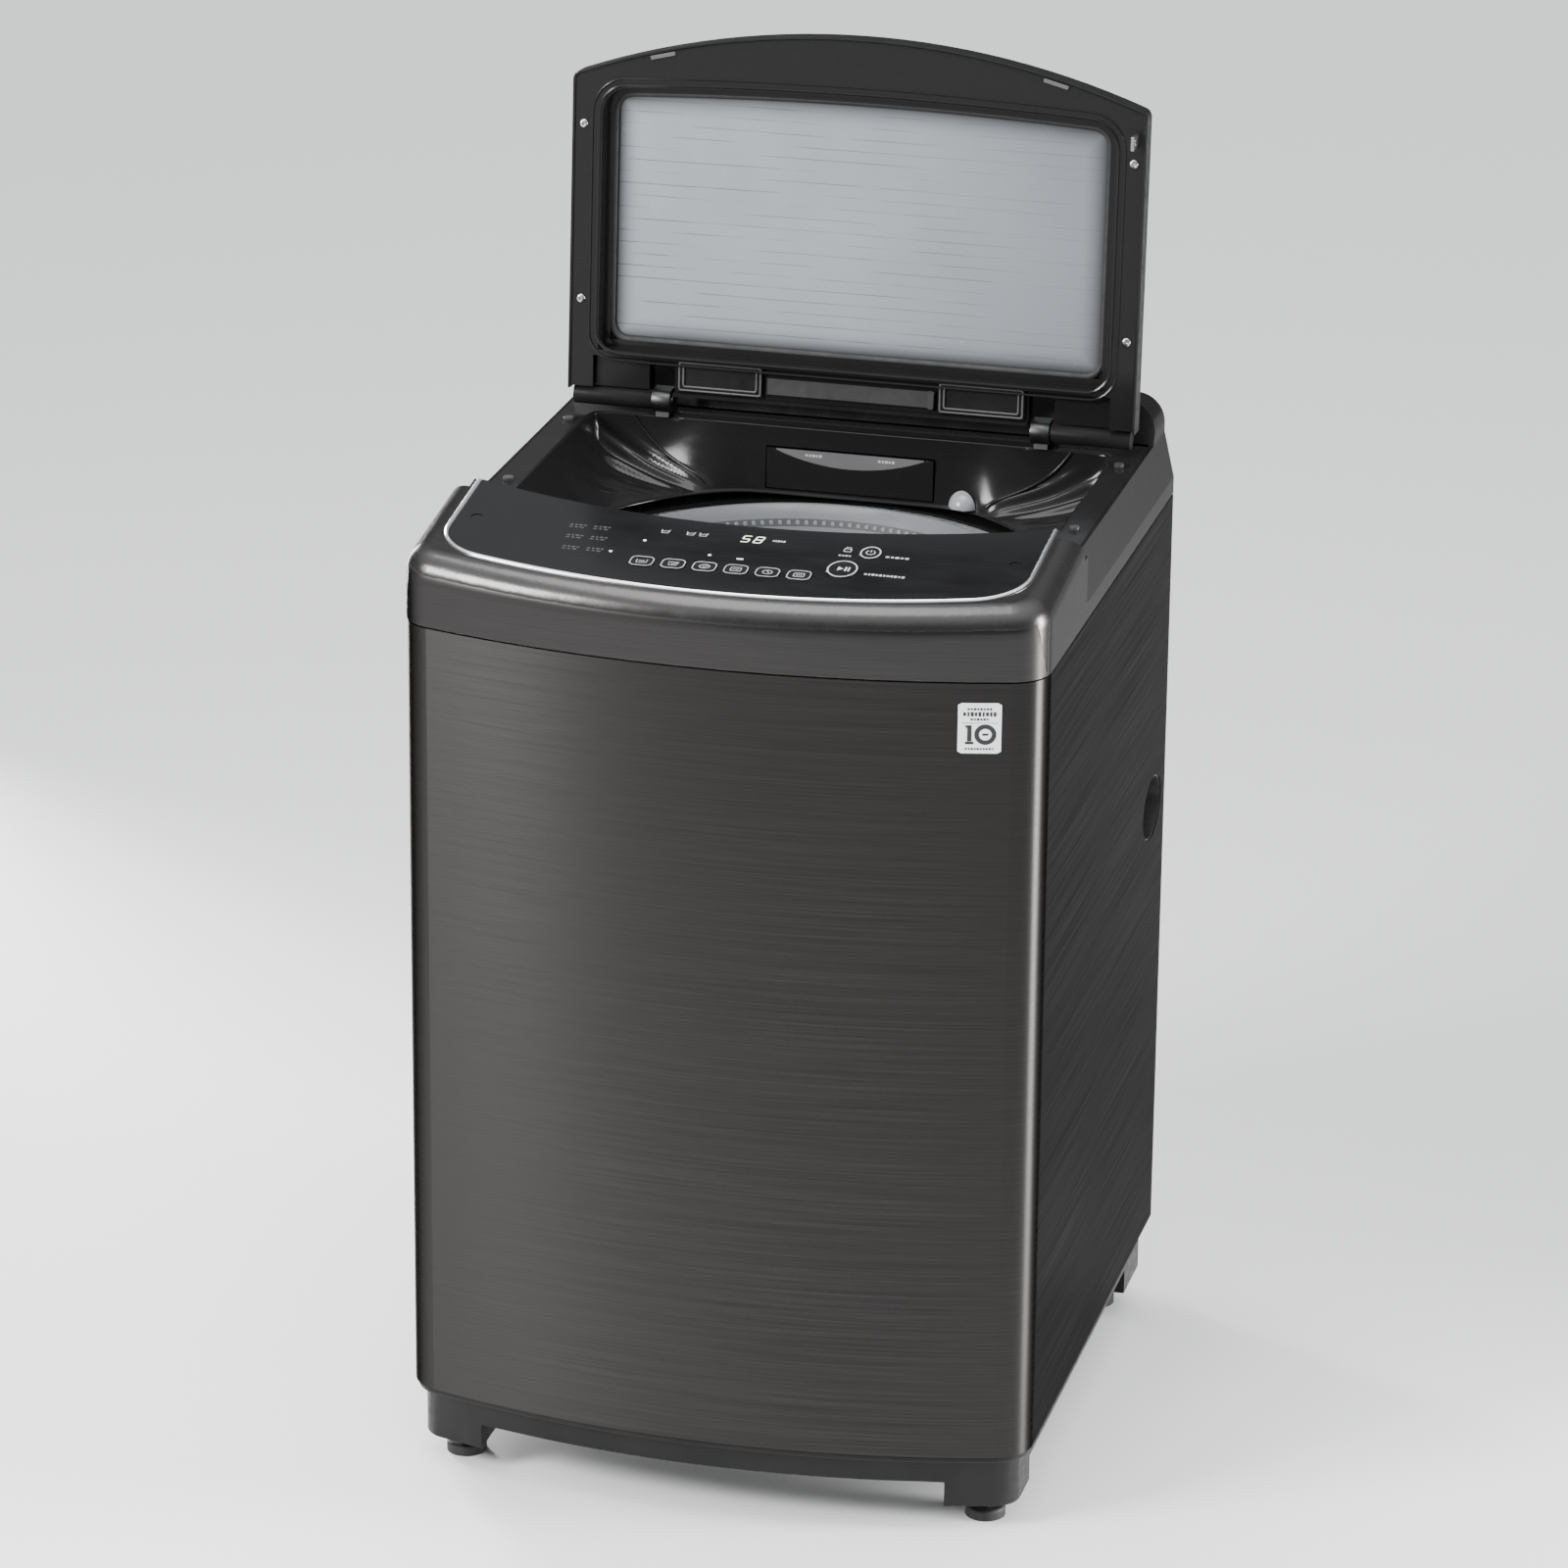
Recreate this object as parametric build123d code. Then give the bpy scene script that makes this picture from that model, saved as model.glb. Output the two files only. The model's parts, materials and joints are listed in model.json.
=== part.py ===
"""Top load washing machine with a front control strip, its lid standing open.

Units are millimetres. +Z is up, the front faces -Y, and the origin is on the floor under the
middle of the machine. Every function returns the solids of one sub-part in their places.
"""
from build123d import *
import math
import os

os.makedirs("parts", exist_ok=True)

# ---------------------------------------------------------------- cabinet and base
WIDTH = 632.0           # across the cabinet sides
FRONT_Y = -330.0        # crown of the bowed front
REAR_Y = 325.0          # rear edge of the cabinet sides and of the top cover
FRONT_BOW = 50.0        # how far the crown stands ahead of the front's ends
CORNER_R = 40.0         # plan radius of the front corners
SHEET = 1.0             # cabinet sheet steel
CABINET_Z = 84.0        # bottom edge of the cabinet
SEAM_Z = 886.0          # top edge of the cabinet
SEAM_GAP = 1.5          # shadow gap under the top cover
REAR_PANEL_Y = 319.0    # inner face of the rear panel
SKIRT_INSET = 11.0      # base skirt behind the cabinet faces
SKIRT_Z = 52.0          # lower edge of the skirt between the corner sockets
SOCKET_Z = 26.0         # lower face of the corner sockets
SOCKET_SIZE = 62.0
SOCKET_FAR_Y = 345.0    # beyond the skirt, so that each socket reaches the outline
SOCKET_FLOOR_T = 8.0
BASE_WALL = 3.0
BASE_FLOOR_T = 4.0
BASE_HOLE_R = 225.0     # the open middle under the motor
LIP_INSET = 2.0         # the lip under the cabinet's edge
LIP_H = 7.0
FOOT_X = 268.0
FOOT_FRONT_Y = -242.0
FOOT_REAR_Y = 276.0
FOOT_R = 20.0
STUD_R = 5.0
HANDLE_AT = (262.0, 568.0)      # centre of the side hand-holds, (y, z)
HANDLE_SIZE = (90.0, 66.0)
HANDLE_DEPTH = 26.0

# ---------------------------------------------------------------- top cover, panel and deck
COVER_WALL = 3.0
RAIL_Z = 953.0          # top of the black side rails
RAIL_INSET = 11.0       # the side bands lean in by this much at the rails
BAND_BREAK_Z = 905.0    # where the side bands start to lean in
HOOD_FRONT_Z = 955.0    # height of the hood's top at HOOD_REF_Y
HOOD_REF_Y = -300.0
HOOD_SLOPE = 0.144      # rise of the hood's top towards the rear
HOOD_FILLET = 24.0
HOOD_END_Y = -95.0
CONSOLE_Z = 992.0       # top of the console behind the lid
CONSOLE_FOOT_Y = 266.0  # foot of its sloping front
CONSOLE_TOP_Y = 288.0
PANEL_HALF = 285.0
PANEL_FRONT_Y = -303.0
PANEL_BOW = 47.0
PANEL_CORNER_R = 60.0
PANEL_T = 4.0
TRIM_W = 4.5
TRIM_PROUD = 0.8
TRIM_DEPTH = 6.0
TRIM_CUT_Y = 40.0       # past the end of the trim, towards the rear
BELOW_HOOD_Z = 900.0    # levels that cutting shapes start and end at
ABOVE_Z = 1020.0
LID_CLEARANCE = 20.0    # kept open round the lid above the rails
CONSOLE_END_R = 30.0
CONSOLE_FOOT_MARGIN = 28.0
MOUTH_HALF = 272.0      # deck mouth between the rails
MOUTH_BOW = 46.0
MOUTH_CORNER_R = 28.0
MOUTH_REAR_Y = 232.0
OPENING_Z = 884.0       # lower end of the deck's funnel
COLLAR_DROP = 3.0       # the opening's collar hangs this far below it
OPENING_R = 255.0
OPENING_REAR_Y = 228.0
OPENING_FRONT_Y = -165.0
FRONT_SPLIT = 0.3       # radians; the funnel's wall is split here beside each straight edge
REAR_SPLIT = 0.45
DECK_T = 3.0

# ---------------------------------------------------------------- keys
KEY_X0 = -83.0
KEY_PITCH = 30.8
KEY_Y = -254.0
KEY_COUNT = 6
KEY_SIZE = (24.0, 20.0)
START_AT = (108.0, -233.5)
START_SIZE = (30.0, 36.0)
POWER_AT = (126.0, -195.0)
POWER_SIZE = (21.0, 26.0)
KEY_GAP = 0.5
KEY_T = 6.0
KEY_PROUD = 0.4
CAP_AT = (266.0, -191.0)
DISPLAY_AT = (4.0, -184.0)
DISPLAY_SIZE = (96.0, 30.0)

# ---------------------------------------------------------------- lid, modelled shut
HINGE_Y = 230.0
HINGE_Z = 970.0
OPEN_ANGLE = 94.0
LID_HALF = 295.0
LID_REAR_Y = 222.0
LID_SIDE_Y = -103.0     # front ends of the lid's straight sides
LID_BOW = 54.0
LID_Z = 957.0           # lower edge of the lid's skirt
LID_T = 30.0
LID_WALL = 2.5
LID_EDGE_R = 8.0        # rounding of the lid's upper edge
LID_GAP = 4.0           # between the lid and the hood
WINDOW_HALF = 252.0
WINDOW_REAR_Y = 168.0
WINDOW_FRONT_Y = -78.0
WINDOW_BOW = 8.0
WINDOW_CORNER_R = 16.0
GLASS_T = 4.0
BRACKET_X = 188.0       # inner face of each hinge bracket
BRACKET_W = 19.0
PIN_R = 5.0
BARREL_R = 10.0
BARREL_END_X = 290.0
STRIKER_SLOT_X = (279.5, 290.5)
STRIKER_SLOT_Y = (-92.0, -62.0)
SCREW_SPOTS = [(side * 283.0, y) for side in (-1, 1) for y in (-52.0, 128.0)]

# ---------------------------------------------------------------- tub, basket and drive
TUB_R = 279.0
TUB_WALL = 3.0
TUB_FLOOR_Z = 262.0
TUB_TOP_Z = 868.0
BASKET_R = 248.0
BASKET_T = 1.0
BASKET_Z = 292.0
BASKET_TOP_Z = 838.0
RING_TOP_Z = 876.0
RING_IN_R = 206.0
RING_LIP_R = (226.0, 230.0)     # the lip at the top of the balance ring
RING_OUT_R = 250.0
RING_SHELF_Z = 852.0    # the low shelf outside the lip
PULSATOR_R = 186.0
WASH_SHAFT_R = 8.0
SPIN_SHAFT_R = 16.0
RUNNING = 0.06          # radial clearance of the running fits
FIT_GAP = 0.2           # left between pieces that lie against each other
ROD_AT = 236.0          # suspension rods stand at (+-ROD_AT, +-ROD_AT)
ROD_TOP_Z = 852.0
ROD_FOOT_Z = 300.0
LUG_Z = 360.0
SPRING_R = 13.0
SPRING_WIRE_R = 1.8
SPRING_TURNS = 6

# ---------------------------------------------------------------- water and drain
DRAWER_HALF = 87.0
DRAWER_Z = (888.0, 930.0)
DRAWER_FACE_Y = 227.0
DRAWER_REAR_Y = 306.0
NOZZLE_AT = (121.0, 886.0)
NOZZLE_R = 17.0
GRIP_HALF = 82.0        # half width of the drawer's finger recess
GRIP_DROP = 17.0        # its depth down from the top edge
GRIP_T = 2.2
INLET_XS = (-236.0, -186.0)
INLET_Z = 918.0
INLET_R = 13.2          # G3/4 hose thread
INLET_HOLE_R = 22.0     # holes in the cover's rear wall, wide enough for a hose nut
DRAIN_AT = (120.0, 150.0)       # middle of the tub's drain hole
OUTLET_AT = (120.0, 222.0)
OUTLET_R = 16.0
STUB_END_Y = 330.0
GLAND_AT = (-262.0, 838.0)


# ================================================================ shared shapes
def box(x, y, z):
    """A box between two limits on each axis."""
    size = (x[1] - x[0], y[1] - y[0], z[1] - z[0])
    middle = ((x[0] + x[1]) / 2, (y[0] + y[1]) / 2, (z[0] + z[1]) / 2)
    return Pos(*middle) * Box(*size)


def disc(r, z, at=(0.0, 0.0)):
    """An upright cylinder between two heights."""
    return Pos(at[0], at[1], (z[0] + z[1]) / 2) * Cylinder(r, z[1] - z[0])


def tube(r_in, r_out, z, at=(0.0, 0.0)):
    """An upright tube between two heights."""
    return disc(r_out, z, at) - disc(r_in, (z[0] - 1, z[1] + 1), at)


def rod_y(r, x, y, z):
    """A cylinder along Y between two y values."""
    return Pos(x, (y[0] + y[1]) / 2, z) * Rot(90, 0, 0) * Cylinder(r, y[1] - y[0])


def rod_x(r, x, y, z):
    """A cylinder along X between two x values."""
    return Pos((x[0] + x[1]) / 2, y, z) * Rot(0, 90, 0) * Cylinder(r, x[1] - x[0])


def raised(face, z):
    """A flat face on XY as a solid between two heights."""
    return Pos(0, 0, z[0]) * extrude(face, z[1] - z[0])


def side_profile(points, x):
    """An outline of (y, z) points as a solid between two x values."""
    plane = Plane(origin=(x[0], 0, 0), x_dir=(0, 1, 0), z_dir=(1, 0, 0))
    face = plane * make_face(Polyline(*points, close=True))
    return extrude(face, x[1] - x[0])


def cross_profile(points, y):
    """An outline of (x, z) points as a solid between two y values."""
    plane = Plane(origin=(0, y[1], 0), x_dir=(1, 0, 0), z_dir=(0, -1, 0))
    face = plane * make_face(Polyline(*points, close=True))
    return extrude(face, y[1] - y[0])


def both_sides(shape):
    """The shape and its mirror image across the middle plane."""
    return shape + mirror(shape, Plane.YZ)


def at_corners(shape_at):
    """Four copies of a shape at the four suspension corners."""
    made = Part()
    for sx in (-1, 1):
        for sy in (-1, 1):
            made += shape_at(sx * ROD_AT, sy * ROD_AT)
    return made


def bowed(half, front_y, bow, rear_y, corner_r, inset=0.0):
    """A plan outline with a bowed front and round front corners, moved in by an inset."""
    radius = (half ** 2 + bow ** 2) / (2 * bow) - inset
    w = half - inset
    crown = front_y + inset
    end = crown + radius - math.sqrt(radius ** 2 - w ** 2)
    front = ThreePointArc((-w, end), (0, crown), (w, end))
    rest = Polyline((w, end), (w, rear_y), (-w, rear_y), (-w, end))
    face = make_face([front, rest])
    return fillet(face.vertices().sort_by(Axis.Y)[:2], corner_r - inset)


def footprint(inset=0.0, rear_y=REAR_Y):
    return bowed(WIDTH / 2, FRONT_Y, FRONT_BOW, rear_y, CORNER_R, inset)


def lid_outline(grow=0.0, rear_y=LID_REAR_Y):
    """The lid's plan; grow widens it on every side but the rear."""
    crown = LID_SIDE_Y - LID_BOW
    return bowed(LID_HALF, crown, LID_BOW, rear_y, 10.0, -grow)


def panel_outline(grow=0.0):
    """The control panel's plan: bowed in front, cut along the lid's front edge behind."""
    face = bowed(PANEL_HALF, PANEL_FRONT_Y, PANEL_BOW, 0.0, PANEL_CORNER_R, -grow)
    return face - lid_outline(LID_GAP)


def hood_z(y):
    return HOOD_FRONT_Z + (y - HOOD_REF_Y) * HOOD_SLOPE


def below_hood(drop, low=800.0):
    """Everything from a height up to a plane that lies under the hood's sloping top."""
    front, rear = -400.0, 60.0
    top = [(rear, hood_z(rear) - drop), (front, hood_z(front) - drop)]
    points = [(front, low), (rear, low)] + top
    return side_profile(points, (-400.0, 400.0))


HOOD_TILT = math.degrees(math.atan(HOOD_SLOPE))


def on_hood(x, y, lift=0.0):
    """The place on the hood's top above (x, y), tilted with it."""
    return Pos(x, y, hood_z(y)) * Rot(HOOD_TILT, 0, 0) * Pos(0, 0, lift)


# ================================================================ cabinet and base
def handle_cut(side, half_y, half_z, x):
    """An oval prism through one cabinet side."""
    centre = (side * x[0], HANDLE_AT[0], HANDLE_AT[1])
    plane = Plane(origin=centre, x_dir=(0, 1, 0), z_dir=(side, 0, 0))
    return extrude(plane * Ellipse(half_y, half_z), x[1] - x[0])


def cabinet_wrap():
    wall = footprint() - footprint(SHEET, REAR_Y + 10)
    wrap = raised(wall, (CABINET_Z, SEAM_Z))
    lip = footprint(SHEET, REAR_PANEL_Y) - footprint(SHEET + 10, REAR_PANEL_Y + 10)
    wrap += raised(lip, (CABINET_Z, CABINET_Z + SHEET))
    inner = WIDTH / 2 - SHEET
    flange = box((inner - 18, inner), (REAR_PANEL_Y - SHEET, REAR_PANEL_Y), (CABINET_Z, SEAM_Z))
    wrap += both_sides(flange)
    for side in (-1, 1):
        wrap -= handle_cut(side, HANDLE_SIZE[0] / 2, HANDLE_SIZE[1] / 2, (inner - 4, inner + 4))
    return wrap


def handle_cups():
    inner = WIDTH / 2 - SHEET
    half_y, half_z = HANDLE_SIZE[0] / 2, HANDLE_SIZE[1] / 2
    cups = Part()
    for side in (-1, 1):
        cup = handle_cut(side, half_y + 8, half_z + 8, (inner - 2, inner))
        cup += handle_cut(side, half_y, half_z, (inner - HANDLE_DEPTH, inner))
        cups += cup - handle_cut(side, half_y - 2, half_z - 2, (inner - HANDLE_DEPTH + 2, inner + 4))
    return cups


def rear_panel():
    edge = WIDTH / 2 - SHEET - 0.5
    face_y = REAR_PANEL_Y + SHEET
    plate = box((-edge, edge), (REAR_PANEL_Y, face_y), (CABINET_Z + SHEET, SEAM_Z))
    for z in (130.0, 330.0, 480.0, 630.0, 780.0):
        rib = box((-220.0, 220.0), (face_y, face_y + 2), (z, z + 26))
        plate += fillet(rib.edges().filter_by(Axis.Y), 10)
    plate -= rod_y(OUTLET_R + 1, OUTLET_AT[0], (300.0, 340.0), OUTLET_AT[1])
    plate -= rod_y(9.0, GLAND_AT[0], (300.0, 340.0), GLAND_AT[1])
    return plate


def rear_screws():
    screws = Part()
    for x in (-305.0, 305.0):
        for z in (110.0, 300.0, 490.0, 680.0, 860.0):
            screws += rod_y(4.5, x, (REAR_PANEL_Y + SHEET, REAR_PANEL_Y + SHEET + 2.5), z)
    return screws


def cord_gland():
    x, z = GLAND_AT
    gland = rod_y(9.0, x, (REAR_PANEL_Y - 8, REAR_PANEL_Y + 8), z)
    gland += rod_y(13.0, x, (REAR_PANEL_Y + SHEET, REAR_PANEL_Y + SHEET + 3), z)
    return gland - rod_y(4.2, x, (290.0, 340.0), z)


def foot_places():
    return {
        "foot_front_left": (-FOOT_X, FOOT_FRONT_Y),
        "foot_front_right": (FOOT_X, FOOT_FRONT_Y),
        "foot_rear_left": (-FOOT_X, FOOT_REAR_Y),
        "foot_rear_right": (FOOT_X, FOOT_REAR_Y),
    }


def base_frame():
    base_rear = REAR_PANEL_Y
    top = CABINET_Z
    inside = footprint(SKIRT_INSET + BASE_WALL, base_rear - BASE_WALL)
    skirt = footprint(SKIRT_INSET, base_rear) - inside
    base = raised(skirt, (SKIRT_Z, top))
    lip = footprint(SHEET + LIP_INSET, base_rear) - inside
    base += raised(lip, (top - LIP_H, top))
    deck = raised(footprint(SKIRT_INSET, base_rear), (top - BASE_FLOOR_T, top))
    base += deck - disc(BASE_HOLE_R, (top - BASE_FLOOR_T - 1, top + 1), (0.0, 0.0))
    block = raised(footprint(SKIRT_INSET, base_rear), (SOCKET_Z, top))
    for x, y in foot_places().values():
        half = SOCKET_SIZE / 2
        outer = math.copysign(WIDTH / 2, x)
        inner = x - math.copysign(half, x)
        far = math.copysign(SOCKET_FAR_Y, y)
        near = y - math.copysign(half, y)
        corner = box(sorted((inner, outer)), sorted((near, far)), (SOCKET_Z, top))
        socket = block & corner
        hollow_end = x + math.copysign(half - 2 * BASE_WALL, x)
        across = sorted((inner + math.copysign(BASE_WALL, x), hollow_end))
        along = (y - half + BASE_WALL, y + half - 3 * BASE_WALL)
        base += socket - box(across, along, (SOCKET_Z + SOCKET_FLOOR_T, top - BASE_FLOOR_T))
        base -= disc(STUD_R + RUNNING, (0.0, top + 10), (x, y))
    return base


def foot(x, y):
    """A levelling foot: rubber-shod pad, hexagon and threaded stud in one."""
    pad = disc(FOOT_R, (0.0, 11.0), (x, y))
    pad = fillet(pad.edges().group_by(Axis.Z)[-1], 3)
    hexagon = Pos(x, y, 11.0) * extrude(RegularPolygon(11.0, 6), 8.0)
    return pad + hexagon + disc(STUD_R, (11.0, 78.0), (x, y))


# ================================================================ top cover and hood
def hood_shell(inset, drop, fillet_r):
    """The rounded nose in front of the lid, moved in and down by a wall."""
    solid = raised(footprint(inset, HOOD_END_Y), (SEAM_Z + SEAM_GAP, ABOVE_Z)) & below_hood(drop)
    top = [e for e in solid.edges() if e.center().Z > hood_z(e.center().Y) - drop - 0.5]
    rim = [e for e in top if e.center().Y < HOOD_END_Y - 1]
    return fillet(rim, fillet_r)


def side_band(inset):
    """The cover's outline across its width behind the hood, open at the top."""
    half = WIDTH / 2 - inset
    low = SEAM_Z + SEAM_GAP
    right = [(half, low), (half, BAND_BREAK_Z), (half - RAIL_INSET, RAIL_Z)]
    return right + [(-x, z) for x, z in reversed(right)]


def console_block(inset):
    points = [
        (CONSOLE_FOOT_Y + inset * 1.2, RAIL_Z - 6),
        (CONSOLE_TOP_Y + inset * 0.6, CONSOLE_Z - inset),
        (REAR_Y - inset, CONSOLE_Z - inset),
        (REAR_Y - inset, RAIL_Z - 6),
    ]
    half = WIDTH / 2 - RAIL_INSET - inset
    block = side_profile(points, (-half, half))
    ends = block.edges().filter_by(Axis.Y).group_by(Axis.Z)[-1]
    return fillet(ends, CONSOLE_END_R - inset)


def top_cover():
    low = SEAM_Z + SEAM_GAP
    behind = (HOOD_END_Y - 20, REAR_Y)
    cover = cross_profile(side_band(0), behind)
    cover -= cross_profile(side_band(COVER_WALL), (behind[0] - 1, REAR_Y - COVER_WALL))
    cover += console_block(0)
    cover -= console_block(COVER_WALL)
    under = MOUTH_HALF + CONSOLE_FOOT_MARGIN
    cover -= box((-under, under), (CONSOLE_FOOT_Y - 20, REAR_Y - COVER_WALL), (low - 1, RAIL_Z + 1))
    hood = hood_shell(0, 0, HOOD_FILLET)
    hood -= hood_shell(COVER_WALL, COVER_WALL, HOOD_FILLET - COVER_WALL)
    beneath_lid = raised(lid_outline(LID_GAP), (RAIL_Z - 40, ABOVE_Z))
    hood -= beneath_lid & box((-302, 302), (-200, 60), (RAIL_Z - 40, ABOVE_Z))
    hood -= raised(lid_outline(LID_GAP + LID_CLEARANCE), (RAIL_Z, ABOVE_Z))
    hood -= raised(panel_outline(TRIM_W) + lid_outline(LID_GAP - 1), (BELOW_HOOD_Z, ABOVE_Z))
    cover += hood
    for x in INLET_XS:
        cover -= rod_y(INLET_HOLE_R, x, (300.0, 340.0), INLET_Z)
    return cover


def chrome_trim():
    plan = bowed(PANEL_HALF, PANEL_FRONT_Y, PANEL_BOW, 0.0, PANEL_CORNER_R, -TRIM_W)
    plan -= bowed(PANEL_HALF, PANEL_FRONT_Y, PANEL_BOW, TRIM_CUT_Y, PANEL_CORNER_R)
    plan -= lid_outline(LID_GAP)
    solid = raised(plan, (BELOW_HOOD_Z, ABOVE_Z)) & below_hood(-TRIM_PROUD)
    return solid - below_hood(TRIM_DEPTH)


# ================================================================ control panel
def key_places():
    """Name, centre and size of each key, and whether it is an oval."""
    places = {}
    for i in range(KEY_COUNT):
        places[f"option_key_{i + 1}"] = ((KEY_X0 + i * KEY_PITCH, KEY_Y), KEY_SIZE, False)
    places["start_key"] = (START_AT, START_SIZE, True)
    places["power_key"] = (POWER_AT, POWER_SIZE, True)
    return places


def key_plan(size, oval, grow=0.0):
    x, y = size[0] + 2 * grow, size[1] + 2 * grow
    if oval:
        return Ellipse(x / 2, y / 2)
    return RectangleRounded(x, y, 7.0 + grow)


def key(centre, size, oval):
    cap = extrude(key_plan(size, oval), KEY_T)
    cap = fillet(cap.edges().group_by(Axis.Z)[-1], 0.8)
    return on_hood(*centre, lift=KEY_PROUD - KEY_T) * cap


def control_panel():
    panel = raised(panel_outline(-0.2), (900.0, 1020.0)) & below_hood(0.5)
    panel -= below_hood(0.5 + PANEL_T)
    for centre, size, oval in key_places().values():
        panel -= on_hood(*centre, lift=-20) * extrude(key_plan(size, oval, KEY_GAP), 30)
    panel -= on_hood(*DISPLAY_AT, lift=-20) * extrude(RectangleRounded(*DISPLAY_SIZE, 4.0), 30)
    for side in (-1, 1):
        panel -= on_hood(side * CAP_AT[0], CAP_AT[1], lift=-20) * Pos(0, 0, 15) * Cylinder(6.0, 30)
    return panel


def display_window():
    lens = extrude(RectangleRounded(*DISPLAY_SIZE, 4.0), PANEL_T - 1)
    return on_hood(*DISPLAY_AT, lift=0.4 - PANEL_T) * lens


def panel_screw_caps():
    cap = Pos(0, 0, 1.5) * Cylinder(6.0, 3.0)
    return Part() + [on_hood(side * CAP_AT[0], CAP_AT[1], lift=-4.2) * cap for side in (-1, 1)]


def control_board():
    board = on_hood(8.0, -222.0, lift=-17) * Box(250, 96, 1.6)
    for centre, _size, _oval in key_places().values():
        board += on_hood(*centre, lift=-12.6) * Box(7, 7, 8)
    board += on_hood(*DISPLAY_AT, lift=-11.5) * Box(80, 20, 10)
    return board


# ================================================================ deck
def mouth_plan(grow=0.0):
    crown = LID_SIDE_Y - LID_BOW
    end = crown + MOUTH_BOW
    half = MOUTH_HALF + grow
    front = ThreePointArc((-half, end - grow), (0, crown - grow), (half, end - grow))
    rear = MOUTH_REAR_Y + grow
    rest = Polyline((half, end - grow), (half, rear), (-half, rear), (-half, end - grow))
    face = make_face([front, rest])
    return fillet(face.vertices(), MOUTH_CORNER_R + grow)


def opening_plan(grow=0.0):
    """The round way into the basket, cut straight in front and behind."""
    r = OPENING_R + grow
    rear, front = OPENING_REAR_Y + grow, OPENING_FRONT_Y - grow
    a_rear, a_front = math.asin(rear / r), math.asin(front / r)
    angles = [a_front, a_front + FRONT_SPLIT, a_rear - REAR_SPLIT, a_rear]

    def on_circle(a, side=1):
        return (side * r * math.cos(a), r * math.sin(a))

    edges = [Line(on_circle(a_front, -1), on_circle(a_front))]
    for a, b in zip(angles, angles[1:]):
        edges.append(ThreePointArc(on_circle(a), on_circle((a + b) / 2), on_circle(b)))
    edges.append(Line(on_circle(a_rear), on_circle(a_rear, -1)))
    for b, a in reversed(list(zip(angles, angles[1:]))):
        edges.append(ThreePointArc(on_circle(a, -1), on_circle((a + b) / 2, -1), on_circle(b, -1)))
    return make_face(edges)


def funnel(grow):
    low = Pos(0, 0, OPENING_Z) * opening_plan(grow)
    high = Pos(0, 0, RAIL_Z) * mouth_plan(grow)
    return loft([low.faces()[0], high.faces()[0]], ruled=True)


def deck_frame():
    rail_half = WIDTH / 2 - RAIL_INSET - COVER_WALL - 0.3
    shell = funnel(DECK_T) - funnel(0.0)
    shell += raised(opening_plan(DECK_T) - opening_plan(), (OPENING_Z - COLLAR_DROP, OPENING_Z))
    flange_y = (-150.0, CONSOLE_FOOT_Y - 0.5)
    flange = box((-rail_half, rail_half), flange_y, (RAIL_Z - DECK_T - 1, RAIL_Z))
    flange -= raised(mouth_plan(), (900.0, 1000.0))
    riser = raised(mouth_plan(DECK_T) - mouth_plan(), (RAIL_Z - DECK_T, 1000.0))
    riser &= below_hood(PANEL_T + 1.0)
    riser &= box((-300, 300), (-200, LID_SIDE_Y - 12), (900, 1000))
    riser -= raised(lid_outline(LID_GAP / 4), (LID_Z - 2, 1000.0))
    rim = box((-214.0, 214.0), (MOUTH_REAR_Y, MOUTH_REAR_Y + 4), (RAIL_Z - 2, RAIL_Z + 5))
    deck = shell + flange + riser + rim
    gap = 1.5
    slot_z = (DRAWER_Z[0] - gap, DRAWER_Z[1] + gap)
    deck -= box((-DRAWER_HALF - gap, DRAWER_HALF + gap), (200.0, 250.0), slot_z)
    deck -= box(STRIKER_SLOT_X, STRIKER_SLOT_Y, (RAIL_Z - 20, RAIL_Z + 5))
    return deck


def rail_bumpers():
    """Rubber buttons on the rails that the closed lid rests on."""
    spots = [(side * 286.0, y) for side in (-1, 1) for y in (-20.0, 190.0)]
    return Part() + [disc(5.0, (RAIL_Z, LID_Z - 0.3), spot) for spot in spots]


def lid_lock():
    """Lock module under the right rail, with a slot for the striker."""
    x, y = STRIKER_SLOT_X, STRIKER_SLOT_Y
    body = box((x[0] - 2, x[1] + 9), (y[0] - 18, y[1] + 18), (RAIL_Z - 44, RAIL_Z - DECK_T - 1.3))
    return body - box(x, y, (RAIL_Z - 34, RAIL_Z))


def detergent_housing():
    half, face_y, rear_y = DRAWER_HALF, DRAWER_FACE_Y, DRAWER_REAR_Y
    low, high = DRAWER_Z
    outer = box((-half - 6, half + 6), (face_y + 10, rear_y + 8), (low - 4, high + 8))
    return outer - box((-half - 2, half + 2), (face_y, rear_y + 5), (low - 1, high + 2))


def detergent_drawer():
    low, high = DRAWER_Z
    front = box((-DRAWER_HALF, DRAWER_HALF), (DRAWER_FACE_Y, DRAWER_FACE_Y + 4), (low, high))
    grip_r = (GRIP_HALF ** 2 + GRIP_DROP ** 2) / (2 * GRIP_DROP)
    grip_z = high + grip_r - GRIP_DROP
    front -= Pos(0, DRAWER_FACE_Y, grip_z) * Rot(90, 0, 0) * Cylinder(grip_r, 2 * GRIP_T)
    tray_half = DRAWER_HALF - 3
    tray = box((-tray_half, tray_half), (DRAWER_FACE_Y + 3, DRAWER_REAR_Y), (low + 1, high - 3))
    for x in ((-DRAWER_HALF + 5, -30.0), (-28.0, 28.0), (30.0, DRAWER_HALF - 5)):
        tray -= box(x, (DRAWER_FACE_Y + 5, DRAWER_REAR_Y - 2), (low + 3, high))
    return front + tray


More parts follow.
